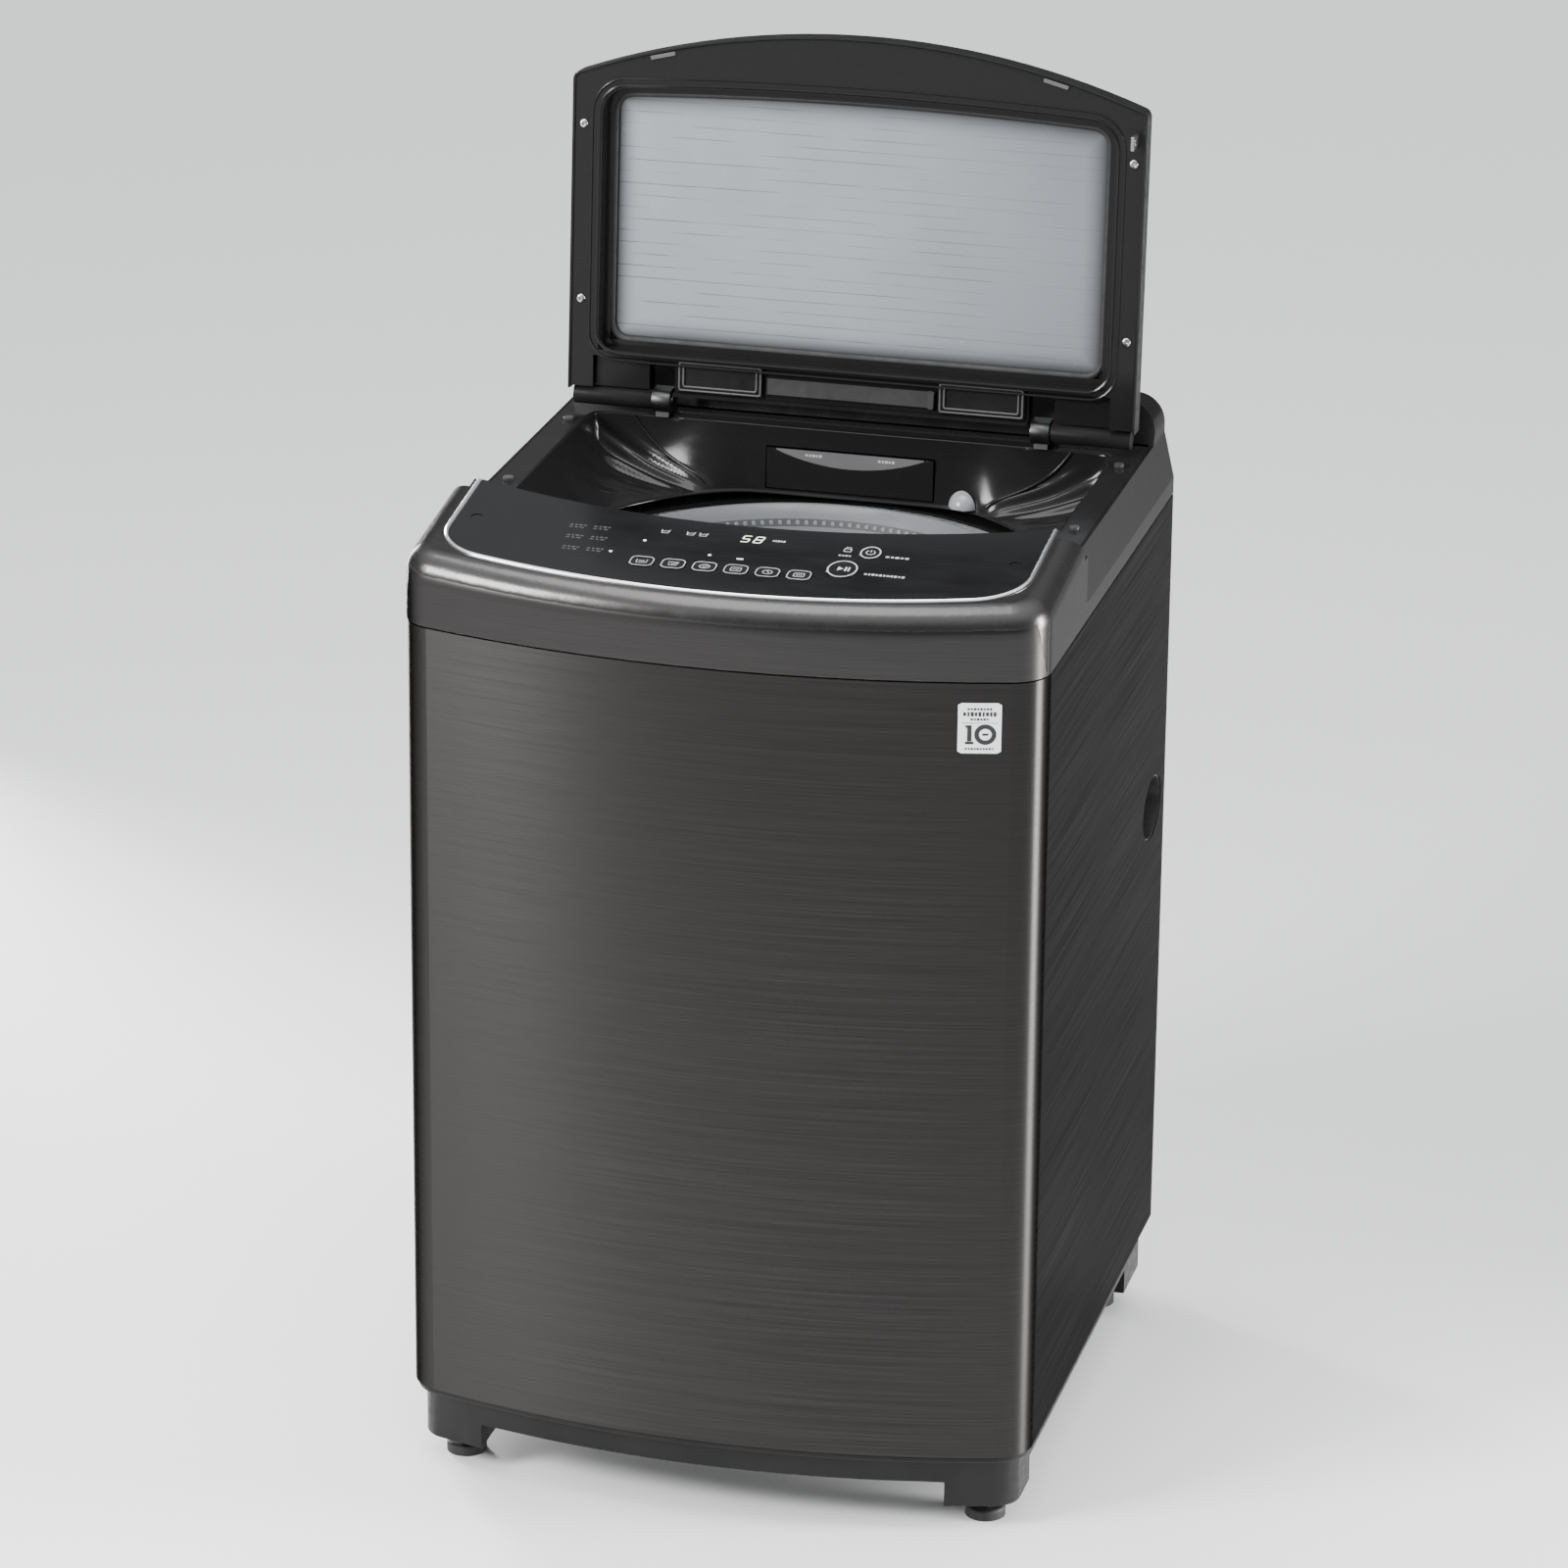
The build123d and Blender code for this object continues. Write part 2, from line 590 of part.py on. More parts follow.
def water_nozzle():
    x, z = NOZZLE_AT
    y = OPENING_REAR_Y - FIT_GAP
    dome = Pos(x, y, z) * Sphere(NOZZLE_R)
    dome &= box((x - 30, x + 30), (y - 30, y), (z, z + 30))
    return dome & disc(OPENING_R - FIT_GAP, (z, z + 30))


# ================================================================ lid
def opened(shape):
    """Turns a part of the shut lid up into its open place."""
    to_axis = Pos(0, HINGE_Y, HINGE_Z)
    return to_axis * Rot(-OPEN_ANGLE, 0, 0) * Pos(0, -HINGE_Y, -HINGE_Z) * shape


def window_plan(grow=0.0):
    return bowed(WINDOW_HALF, WINDOW_FRONT_Y - WINDOW_BOW, WINDOW_BOW, WINDOW_REAR_Y + grow,
                 WINDOW_CORNER_R, -grow)


def hinge_notches():
    """Room round the two hinge brackets and the barrels in the lid's rear edge."""
    near, far = BRACKET_X - 4, BRACKET_X + BRACKET_W + 4
    notch = box((near, far), (190.0, 260.0), (LID_Z - 5, LID_Z + LID_T + 5))
    room = BARREL_R + 1
    barrel = box((far - 1, BARREL_END_X + 3), (HINGE_Y - room, 260.0), (LID_Z - 5, HINGE_Z + room))
    return both_sides(notch + barrel)


def lid_outer():
    block = raised(lid_outline(), (LID_Z, LID_Z + LID_T))
    block = fillet(block.edges().group_by(Axis.Z)[-1], LID_EDGE_R)
    hollow = raised(lid_outline(-LID_WALL, LID_REAR_Y - LID_WALL), (LID_Z - 1, LID_Z + LID_T - LID_WALL))
    hollow = fillet(hollow.edges().group_by(Axis.Z)[-1], LID_EDGE_R - LID_WALL)
    shell = block - hollow - raised(window_plan(2.0), (LID_Z, LID_Z + LID_T + 5))
    return opened(shell - hinge_notches())


def lid_inner_frame():
    top = LID_Z + LID_T - LID_WALL
    plate = lid_outline(-LID_WALL - 0.2, LID_REAR_Y - LID_WALL - 0.2)
    frame = raised(plate, (LID_Z + 1, LID_Z + 4)) - raised(window_plan(12.0), (LID_Z, top))
    channel = raised(window_plan(15.0) - window_plan(12.0), (LID_Z + 1, top - GLASS_T - 4))
    ledge = raised(window_plan(15.0) - window_plan(4.0), (top - GLASS_T - 6, top - GLASS_T - 4))
    frame += channel + ledge
    half = LID_HALF - 26
    strip = box((-half, half), (WINDOW_REAR_Y + 18, LID_REAR_Y + 2), (LID_Z - 1, LID_Z + 9))
    frame -= strip
    for spot in SCREW_SPOTS:
        frame -= disc(2.0, (LID_Z, LID_Z + 8), spot)
    inner_rear = LID_REAR_Y - LID_WALL - 0.2
    floor = box((-half, half), (WINDOW_REAR_Y + 14, inner_rear), (LID_Z + 9, LID_Z + 12))
    return opened(frame + floor - hinge_notches())


def hinge_covers():
    """Two raised covers and a middle plate on the lid's rear strip."""
    low = LID_Z + 5
    block = box((92.0, 180.0), (186.0, 217.0), (low, LID_Z + 9))
    block -= box((96.0, 176.0), (190.0, 213.0), (low - 1, low + 1.2))
    plate = box((-88.0, 88.0), (196.0, 214.0), (low + 2, LID_Z + 9))
    return opened(both_sides(block) + plate)


def lid_gasket():
    top = LID_Z + LID_T - LID_WALL
    return opened(raised(window_plan(11.5) - window_plan(1.0), (top - GLASS_T - 4, top - GLASS_T)))


def lid_glass():
    top = LID_Z + LID_T - LID_WALL
    return opened(raised(window_plan(9.0), (top - GLASS_T, top)))


def lid_screws():
    screws = Part()
    for spot in SCREW_SPOTS:
        screws += disc(4.5, (LID_Z - 0.5, LID_Z + 1), spot) + disc(2.0, (LID_Z + 1, LID_Z + 12), spot)
    return opened(screws)


def lid_striker():
    x = (STRIKER_SLOT_X[0] + 4, STRIKER_SLOT_X[1] - 4)
    y = (STRIKER_SLOT_Y[0] + 9, STRIKER_SLOT_Y[1] - 7)
    hook = box(x, y, (LID_Z - 22, LID_Z + 1))
    return opened(hook - box((x[0] - 1, x[1] + 1), (y[0] + 4, y[1] - 4), (LID_Z - 18, LID_Z - 12)))


def lid_hinge_barrels():
    near = BRACKET_X + BRACKET_W + 1.0
    barrel = rod_x(BARREL_R, (near, BARREL_END_X), HINGE_Y, HINGE_Z)
    barrel += box((near + 4, BARREL_END_X), (LID_REAR_Y - 5, HINGE_Y), (HINGE_Z + 6, HINGE_Z + BARREL_R))
    barrel -= rod_x(PIN_R + RUNNING, (near - 5, near + 46), HINGE_Y, HINGE_Z)
    return opened(both_sides(barrel))


def hinge_brackets():
    """Pedestals on the deck, each with the steel pin that a lid barrel turns on."""
    x = (BRACKET_X, BRACKET_X + BRACKET_W)
    post = box(x, (HINGE_Y + 7, HINGE_Y + 21), (RAIL_Z, HINGE_Z))
    post += rod_x(12.0, x, HINGE_Y, HINGE_Z)
    post += box(x, (HINGE_Y, HINGE_Y + 12), (RAIL_Z + 6, HINGE_Z + 12))
    pin = rod_x(PIN_R, (x[0] - 2, x[1] + 44), HINGE_Y, HINGE_Z)
    return both_sides(post + pin)


# ================================================================ tub and basket
def outer_tub():
    floor = TUB_FLOOR_Z
    tub = tube(TUB_R - TUB_WALL, TUB_R, (floor, TUB_TOP_Z))
    tub += tube(40.0, TUB_R, (floor, floor + 4))
    for z in (380.0, 520.0, 660.0, 800.0):
        tub += tube(TUB_R - 1, TUB_R + 4, (z, z + 4))
    for x in (-ROD_AT, ROD_AT):
        for y in (-ROD_AT, ROD_AT):
            turn = math.degrees(math.atan2(y, x))
            reach = (TUB_R - 2, math.hypot(x, y) + 14)
            lug = Rot(0, 0, turn) * box(reach, (-20, 20), (LUG_Z, LUG_Z + 12))
            tub += lug - disc(6.0, (LUG_Z - 5, LUG_Z + 20), (x, y))
    return tub - disc(15.0, (floor - 5, floor + 10), DRAIN_AT)


def tub_cover():
    cover = tube(254.0, TUB_R + 3, (TUB_TOP_Z, TUB_TOP_Z + 3))
    return cover + tube(TUB_R, TUB_R + 3, (TUB_TOP_Z - 22, TUB_TOP_Z))


def basket():
    wall = tube(BASKET_R - BASKET_T, BASKET_R, (BASKET_Z, BASKET_TOP_Z))
    wall += tube(42.0, BASKET_R, (BASKET_Z, BASKET_Z + 2))
    slot = Pos(BASKET_R, 0, BASKET_TOP_Z - 14) * Box(12, 5, 12)
    holes = [Rot(0, 0, i * 10) * slot for i in range(36)]
    for z in (420.0, 600.0):
        hole = Pos(BASKET_R, 0, z) * Rot(0, 90, 0) * Cylinder(2.5, 12)
        holes += [Rot(0, 0, i * 15) * hole for i in range(24)]
    return wall - holes


def balance_ring():
    """Sloped inside, a rounded lip on top and a low shelf outside the lip."""
    foot = BASKET_TOP_Z
    section = [
        (RING_IN_R, foot), (RING_OUT_R, foot), (RING_OUT_R, RING_SHELF_Z), (RING_LIP_R[1], RING_SHELF_Z),
        (RING_LIP_R[1], RING_TOP_Z), (RING_LIP_R[0], RING_TOP_Z), (RING_IN_R + 4, foot + 14),
        (RING_IN_R, foot + 8),
    ]
    return revolve(Plane.XZ * make_face(Polyline(*section, close=True)), Axis.Z)


def basket_hub():
    hub = tube(SPIN_SHAFT_R, 60.0, (270.0, BASKET_Z))
    for i in range(6):
        hub += Rot(0, 0, i * 60) * box((50.0, 190.0), (-16, 16), (BASKET_Z - 10, BASKET_Z))
    return hub


def lint_filters():
    """Two filter cases clipped to the basket's wall."""
    inner_r = BASKET_R - BASKET_T
    case = box((224.0, inner_r), (-55.0, 55.0), (560.0, 760.0)) & disc(inner_r, (500.0, 800.0))
    hollow = box((226.0, inner_r), (-53.0, 53.0), (562.0, 758.0)) & disc(inner_r - 2, (500.0, 800.0))
    return both_sides(case - hollow)


def pulsator():
    low = BASKET_Z + 5
    plate = disc(PULSATOR_R, (low, low + 8))
    plate += Pos(0, 0, low + 16) * Cone(120.0, 60.0, 16)
    for i in range(6):
        vane = box((30.0, PULSATOR_R - 12), (-9, 9), (low + 6, low + 34))
        vane = fillet(vane.edges().group_by(Axis.Z)[-1], 8)
        plate += Rot(0, 0, i * 60) * vane
    return plate - disc(WASH_SHAFT_R, (low - 5, low + 16))


def pulsator_cap():
    low = BASKET_Z + 39
    dome = Pos(0, 0, low - 22) * Sphere(34.0)
    return disc(26.0, (low - 10, low)) + (dome & disc(26.0, (low, low + 20)))


# ================================================================ drive
def wash_shaft():
    return disc(WASH_SHAFT_R, (150.0, BASKET_Z + 21))


def spin_shaft():
    return tube(WASH_SHAFT_R + RUNNING, SPIN_SHAFT_R, (202.0, BASKET_Z))


def bearing_housing():
    housing = tube(31.0, 44.0, (204.0, TUB_FLOOR_Z))
    housing += tube(31.0, 110.0, (TUB_FLOOR_Z - 8, TUB_FLOOR_Z))
    housing += tube(31.0, 80.0, (204.0, 210.0))
    for i in range(6):
        housing += Rot(0, 0, i * 60) * box((40.0, 78.0), (-3, 3), (208.0, TUB_FLOOR_Z - 4))
    return housing


def bearings_and_seal():
    """Lower bearing, upper bearing and the lip seal above them, on the spin shaft."""
    inner = SPIN_SHAFT_R + RUNNING
    made = Part()
    for z in ((206.0, 222.0), (238.0, 254.0), (256.0, 262.0)):
        made += tube(inner, 31.0, z)
    return made


def motor_stator():
    stator = tube(48.0, 84.0, (178.0, 204.0))
    for i in range(24):
        stator += Rot(0, 0, i * 15) * box((80.0, 118.0), (-6, 6), (181.0, 201.0))
    return stator


def motor_rotor():
    rotor = tube(121.0, 130.0, (164.0, 206.0)) + tube(WASH_SHAFT_R, 130.0, (161.0, 165.0))
    return rotor + tube(WASH_SHAFT_R, 24.0, (152.0, 174.0))


def drain_valve():
    x, y = DRAIN_AT
    valve = disc(22.0, (196.0, TUB_FLOOR_Z), DRAIN_AT) + rod_y(14.0, x, (y, y + 42), OUTLET_AT[1])
    return valve + box((x + 18, x + 62), (y - 14, y + 14), (206.0, 238.0))


def drain_hose():
    x, z = OUTLET_AT
    start, end = DRAIN_AT[1] + 42, REAR_PANEL_Y - 14
    hose = rod_y(16.0, x, (start, end), z)
    count = int((end - start - 8) / 8)
    for i in range(count):
        hose += rod_y(18.0, x, (start + 6 + i * 8, start + 10 + i * 8), z)
    return hose - rod_y(12.0, x, (start - 5, end + 5), z)


def drain_outlet():
    x, z = OUTLET_AT
    outlet = rod_y(OUTLET_R, x, (REAR_PANEL_Y - 11, STUB_END_Y), z)
    outlet += rod_y(26.0, x, (REAR_PANEL_Y - 3, REAR_PANEL_Y), z)
    return outlet - rod_y(12.0, x, (290.0, 340.0), z)


# ================================================================ suspension
def corner_plate(x, y):
    """Plate in a top corner of the cabinet that a suspension rod hangs from."""
    inner = WIDTH / 2 - SHEET - 0.3
    sx, sy = math.copysign(1, x), math.copysign(1, y)
    far_y = REAR_PANEL_Y - 11 if y > 0 else 262.0
    across, along = sorted((x - sx * 22, sx * inner)), sorted((y - sy * 22, sy * far_y))
    corner = box(across, along, (846.0, 850.0))
    return corner & raised(footprint(SHEET + 0.3), (840.0, 860.0))


def suspension_rods():
    """Four rods, each with its corner plate, ball seat and spring cup."""
    def rod(x, y):
        seat = Pos(x, y, 854.0) * Cone(9.0, 13.0, 8)
        cup = disc(18.0, (ROD_FOOT_Z - 8, ROD_FOOT_Z), (x, y))
        return disc(4.0, (ROD_FOOT_Z - 10, ROD_TOP_Z), (x, y)) + seat + cup + corner_plate(x, y)

    return at_corners(rod)


def suspension_springs():
    height = LUG_Z - ROD_FOOT_Z - 2 * SPRING_WIRE_R - 0.4
    helix = Helix(height / SPRING_TURNS, height, SPRING_R)
    wire = sweep(Plane(helix @ 0, z_dir=helix % 0) * Circle(SPRING_WIRE_R), helix)
    low = ROD_FOOT_Z + SPRING_WIRE_R + 0.2
    return at_corners(lambda x, y: Pos(x, y, low) * wire)


# ================================================================ water
def inlet_valves():
    """Two solenoid valves with threaded stubs, and the pipe to the detergent housing."""
    made = Part()
    for x in INLET_XS:
        stub = rod_y(INLET_R, x, (296.0, STUB_END_Y), INLET_Z)
        made += stub - rod_y(9.0, x, (305.0, 340.0), INLET_Z)
        made += box((x - 17, x + 17), (272.0, 300.0), (INLET_Z - 17, INLET_Z + 17))
    made += box((INLET_XS[0], INLET_XS[1] + 30), (276.0, 290.0), (INLET_Z - 8, INLET_Z + 8))
    made += rod_x(8.0, (INLET_XS[1] + 30, -DRAWER_HALF - 6), 283.0, INLET_Z)
    return made - rod_x(5.5, (INLET_XS[1] + 32, -DRAWER_HALF), 283.0, INLET_Z)


def pressure_switch():
    at = (232.0, 286.0)
    body = disc(27.0, (906.0, 926.0), at) + disc(4.0, (896.0, 906.0), at)
    return body + box((216.0, 248.0), (280.0, 292.0), (926.0, 940.0))


NODES = {
    "cabinet_wrap": cabinet_wrap,
    "handle_cups": handle_cups,
    "rear_panel": rear_panel,
    "rear_screws": rear_screws,
    "cord_gland": cord_gland,
    "base_frame": base_frame,
    "top_cover": top_cover,
    "chrome_trim": chrome_trim,
    "control_panel": control_panel,
    "display_window": display_window,
    "panel_screw_caps": panel_screw_caps,
    "control_board": control_board,
    "deck_frame": deck_frame,
    "rail_bumpers": rail_bumpers,
    "lid_lock": lid_lock,
    "detergent_housing": detergent_housing,
    "detergent_drawer": detergent_drawer,
    "water_nozzle": water_nozzle,
    "lid_outer": lid_outer,
    "lid_inner_frame": lid_inner_frame,
    "hinge_covers": hinge_covers,
    "lid_gasket": lid_gasket,
    "lid_glass": lid_glass,
    "lid_screws": lid_screws,
    "lid_striker": lid_striker,
    "lid_hinge_barrels": lid_hinge_barrels,
    "hinge_brackets": hinge_brackets,
    "outer_tub": outer_tub,
    "tub_cover": tub_cover,
    "basket": basket,
    "balance_ring": balance_ring,
    "basket_hub": basket_hub,
    "lint_filters": lint_filters,
    "pulsator": pulsator,
    "pulsator_cap": pulsator_cap,
    "wash_shaft": wash_shaft,
    "spin_shaft": spin_shaft,
    "bearing_housing": bearing_housing,
    "bearings_and_seal": bearings_and_seal,
    "motor_stator": motor_stator,
    "motor_rotor": motor_rotor,
    "drain_valve": drain_valve,
    "drain_hose": drain_hose,
    "drain_outlet": drain_outlet,
    "suspension_rods": suspension_rods,
    "suspension_springs": suspension_springs,
    "inlet_valves": inlet_valves,
    "pressure_switch": pressure_switch,
}


def main():
    parts = {name: make() for name, make in NODES.items()}
    for name, (x, y) in foot_places().items():
        parts[name] = foot(x, y)
    for name, (centre, size, oval) in key_places().items():
        parts[name] = key(centre, size, oval)
    for name, shape in parts.items():
        export_step(shape, f"parts/{name}.step")
    print(len(parts), "nodes")


main()
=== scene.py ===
"""The looks of the top load washing machine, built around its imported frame.

The frame is in metres. Shapes made here are given in millimetres and scaled once, as each mesh is
made. +Z is up and the front faces -Y. Everything that the lid carries is modelled with the lid
shut, and then turned open, as in the frame.
"""
import bpy
import itertools
import json
import math
from mathutils import Matrix, Vector


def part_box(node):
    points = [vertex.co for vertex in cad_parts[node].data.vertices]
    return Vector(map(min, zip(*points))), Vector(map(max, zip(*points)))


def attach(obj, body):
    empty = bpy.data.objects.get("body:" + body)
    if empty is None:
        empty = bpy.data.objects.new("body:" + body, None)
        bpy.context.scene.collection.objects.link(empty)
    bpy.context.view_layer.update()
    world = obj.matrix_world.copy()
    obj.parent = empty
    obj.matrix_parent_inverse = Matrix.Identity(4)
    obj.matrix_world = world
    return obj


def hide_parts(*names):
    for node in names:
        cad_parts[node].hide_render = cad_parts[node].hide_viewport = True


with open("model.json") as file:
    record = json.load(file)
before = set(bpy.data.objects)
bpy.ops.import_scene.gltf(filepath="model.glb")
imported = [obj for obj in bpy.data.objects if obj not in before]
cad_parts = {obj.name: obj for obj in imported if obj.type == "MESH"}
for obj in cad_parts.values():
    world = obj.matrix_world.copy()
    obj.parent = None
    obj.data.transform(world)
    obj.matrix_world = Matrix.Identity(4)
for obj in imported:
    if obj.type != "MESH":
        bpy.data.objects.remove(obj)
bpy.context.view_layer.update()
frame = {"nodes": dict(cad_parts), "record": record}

MM = 0.001
SMOOTH = math.radians(38)

# -------- places, in millimetres
def node_box(name):
    """A CAD node's box, as its limits along x, y and z."""
    low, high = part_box(name)
    return [(round(a / MM, 2), round(b / MM, 2)) for a, b in zip(low, high)]


COVER_X, COVER_Y, COVER_Z = node_box("top_cover")
DECK_X, DECK_Y, _DECK_Z = node_box("deck_frame")
DRAWER_X, DRAWER_Y, DRAWER_Z = node_box("detergent_drawer")
BASKET_X, _BASKET_Y, BASKET_Z = node_box("basket")
RING_X, _RING_Y, RING_Z = node_box("balance_ring")

WIDTH, FRONT_Y, SEAM_Z = 2 * COVER_X[1], COVER_Y[0], COVER_Z[0]
FRONT_BOW, CORNER_R = 50.0, 40.0
HOOD_FRONT_Z, HOOD_REF_Y, HOOD_SLOPE, HOOD_FILLET = 955.0, -300.0, 0.144, 24.0
TRIM_W = 4.5
TRIM_END_Y = -113.0     # where the chrome trim and the deck's riser stop
PANEL_HALF = node_box("chrome_trim")[0][1] - TRIM_W
PANEL_FRONT_Y, PANEL_BOW, PANEL_CORNER_R = -303.0, 47.0, 60.0
PANEL_TOP_DROP = 0.5
KEY_PROUD = 0.4
SEAM_CLEAR = 0.6        # the hood's lowest visible line, above the seam
RAIL_HALF, RAIL_REAR_Y, RAIL_Z = DECK_X[1], DECK_Y[1], 953.0
LID_HALF, LID_CROWN_Y, LID_BOW, LID_CORNER_R = node_box("lid_outer")[0][1], -157.0, 54.0, 10.0
LID_Z, LID_T = 957.0, 30.0
COVER_LOW_Z = LID_Z + 5.0
HINGE_Y, HINGE_Z, OPEN_ANGLE = 230.0, 970.0, 94.0
WINDOW_HALF, WINDOW_REAR_Y, WINDOW_CROWN_Y = 252.0, 168.0, -86.0
WINDOW_BOW, WINDOW_CORNER_R = 8.0, 16.0
MOUTH_HALF, MOUTH_CROWN_Y, MOUTH_BOW, MOUTH_REAR_Y = 272.0, -157.0, 46.0, 232.0
OPENING_R, OPENING_REAR_Y, OPENING_FRONT_Y, OPENING_Z = 255.0, 228.0, -165.0, 884.0
LOCK_SLOT_X, LOCK_SLOT_Y = (279.5, 290.5), (-92.0, -62.0)
DRAWER_HALF, DRAWER_FACE_Y, (DRAWER_LOW, DRAWER_HIGH) = DRAWER_X[1], DRAWER_Y[0], DRAWER_Z
GRIP_HALF, GRIP_DROP = 82.0, 17.0
RING_LIP_R, RING_OUT_R, RING_SHELF_Z, RING_TOP_Z = 230.0, RING_X[1], 852.0, RING_Z[1]
BASKET_R, BASKET_T, (BASKET_LOW, BASKET_HIGH) = BASKET_X[1], 1.0, BASKET_Z
INLET_XS, INLET_Z, INLET_R = (-236.0, -186.0), 918.0, 13.2
SIDES = ((-1, "left"), (1, "right"))


# -------- materials
class Look:
    """A Principled material whose colour, gloss and relief come from object-space textures."""

    def __init__(self, name, color, roughness, **fixed):
        self.material = bpy.data.materials.new(name)
        self.material.use_nodes = True
        self.tree = self.material.node_tree
        self.shader = self.tree.nodes["Principled BSDF"]
        self.place = self.node("ShaderNodeTexCoord").outputs["Object"]
        self.color = color
        self.normal = None
        self.shader.inputs["Base Color"].default_value = (*color, 1.0)
        self.shader.inputs["Roughness"].default_value = roughness
        for label, value in fixed.items():
            self.shader.inputs[label.replace("_", " ")].default_value = value

    def node(self, kind, **inputs):
        made = self.tree.nodes.new(kind)
        for label, value in inputs.items():
            self.feed(made.inputs[label.replace("_", " ")], value)
        return made

    def feed(self, socket, value):
        if isinstance(value, bpy.types.NodeSocket):
            self.tree.links.new(value, socket)
        else:
            socket.default_value = value

    def noise(self, size_mm, stretch=(1.0, 1.0, 1.0), detail=3.0):
        """Cloudy texture whose grains are about size_mm, drawn out along each axis by stretch."""
        scale = self.node("ShaderNodeVectorMath")
        scale.operation = "MULTIPLY"
        self.feed(scale.inputs[0], self.place)
        scale.inputs[1].default_value = [1.0 / (size_mm * MM * s) for s in stretch]
        texture = self.node("ShaderNodeTexNoise", Vector=scale.outputs[0], Scale=1.0, Detail=detail)
        return texture.outputs["Fac"]

    def cells(self, size_mm):
        """Pebbled texture: distance to the nearest grain's middle."""
        scale = self.node("ShaderNodeVectorMath")
        scale.operation = "SCALE"
        self.feed(scale.inputs[0], self.place)
        scale.inputs["Scale"].default_value = 1.0 / (size_mm * MM)
        texture = self.node("ShaderNodeTexVoronoi", Vector=scale.outputs[0], Scale=1.0)
        return texture.outputs["Distance"]

    def axis(self, name):
        return self.node("ShaderNodeSeparateXYZ", Vector=self.place).outputs[name]

    def math(self, operation, a, b=0.0):
        made = self.node("ShaderNodeMath")
        made.operation = operation
        self.feed(made.inputs[0], a)
        self.feed(made.inputs[1], b)
        return made.outputs[0]

    def span(self, fac, low, high, start=0.3, end=0.7):
        """fac from start to end, spread over low to high."""
        made = self.node("ShaderNodeMapRange")
        for i, value in enumerate((fac, start, end, low, high)):
            self.feed(made.inputs[i], value)
        return made.outputs[0]

    def tint(self, fac, other, share=1.0):
        """Blends the colour so far with another one, by fac."""
        mix = self.node("ShaderNodeMix")
        mix.data_type = "RGBA"
        self.feed(mix.inputs[0], self.math("MULTIPLY", fac, share))
        before = self.shader.inputs["Base Color"]
        if before.is_linked:
            self.feed(mix.inputs[6], before.links[0].from_socket)
        else:
            mix.inputs[6].default_value = (*self.color, 1.0)
        mix.inputs[7].default_value = (*other, 1.0)
        self.feed(before, mix.outputs[2])
        return self

    def gloss(self, fac, low, high):
        self.feed(self.shader.inputs["Roughness"], self.span(fac, low, high))
        return self

    def relief(self, fac, depth_mm, strength=1.0):
        bump = self.node("ShaderNodeBump", Height=fac, Distance=depth_mm * MM, Strength=strength)
        if self.normal:
            self.feed(bump.inputs["Normal"], self.normal)
        self.normal = bump.outputs["Normal"]
        self.feed(self.shader.inputs["Normal"], self.normal)
        return self


def moulded(name, color, roughness, grain_mm=0.7, depth_mm=0.03, **fixed):
    """Moulded plastic: pebbled skin, faint flow clouding, uneven gloss."""
    look = Look(name, color, roughness, **fixed)
    cloud = look.noise(60.0)
    look.tint(look.span(cloud, 0.0, 1.0), [c * 1.25 + 0.004 for c in color], 0.6)
    look.gloss(look.noise(9.0), roughness * 0.85, roughness * 1.2)
    return look.relief(look.cells(grain_mm), depth_mm, 0.5)


def polished(name, color, roughness, wave_mm=14.0, **fixed):
    """Glossy moulding: a faint long wave in the surface, fine dust and wiping marks."""
    look = Look(name, color, roughness, **fixed)
    dust = look.noise(0.9, detail=1.0)
    look.tint(look.span(dust, 0.0, 1.0, 0.62, 0.8), [c + 0.05 for c in color], 0.25)
    wiped = look.noise(22.0, stretch=(3.0, 1.0, 1.0))
    look.gloss(wiped, roughness * 0.75, roughness * 1.35)
    return look.relief(look.noise(wave_mm, detail=1.0), 0.05, 0.35)


def brushed(name, color, roughness, along=(60.0, 60.0, 1.0), line_mm=0.45, **fixed):
    """Brushed metal: hair lines drawn out along one direction, in two sizes."""
    look = Look(name, color, roughness, Metallic=1.0, **fixed)
    fine = look.noise(line_mm, stretch=along, detail=2.0)
    broad = look.noise(line_mm * 5.0, stretch=along, detail=2.0)
    look.tint(look.span(fine, 0.0, 1.0), [c * 1.5 for c in color], 0.45)
    look.tint(look.span(broad, 0.0, 1.0), [c * 0.72 for c in color], 0.4)
    look.gloss(broad, roughness * 0.85, roughness * 1.2)
    return look.relief(fine, 0.012, 0.5)


BRUSHED_LEVEL = (140.0, 140.0, 1.0)


def grey(value):
    """A colour without hue, with its alpha."""
    return (value, value, value, 1.0)


def cabinet_steel():
    """Dark brushed steel whose light spreads round the cabinet, across the hair lines."""
    look = brushed("cabinet_steel", (0.036, 0.0345, 0.0335), 0.36, along=BRUSHED_LEVEL,
                   line_mm=0.4, Anisotropic=0.85, Anisotropic_Rotation=0.25,
                   Specular_Tint=grey(0.34))
    tangent = look.node("ShaderNodeTangent")
    tangent.direction_type = "RADIAL"
    tangent.axis = "Z"
    look.feed(look.shader.inputs["Tangent"], tangent.outputs[0])
    return look


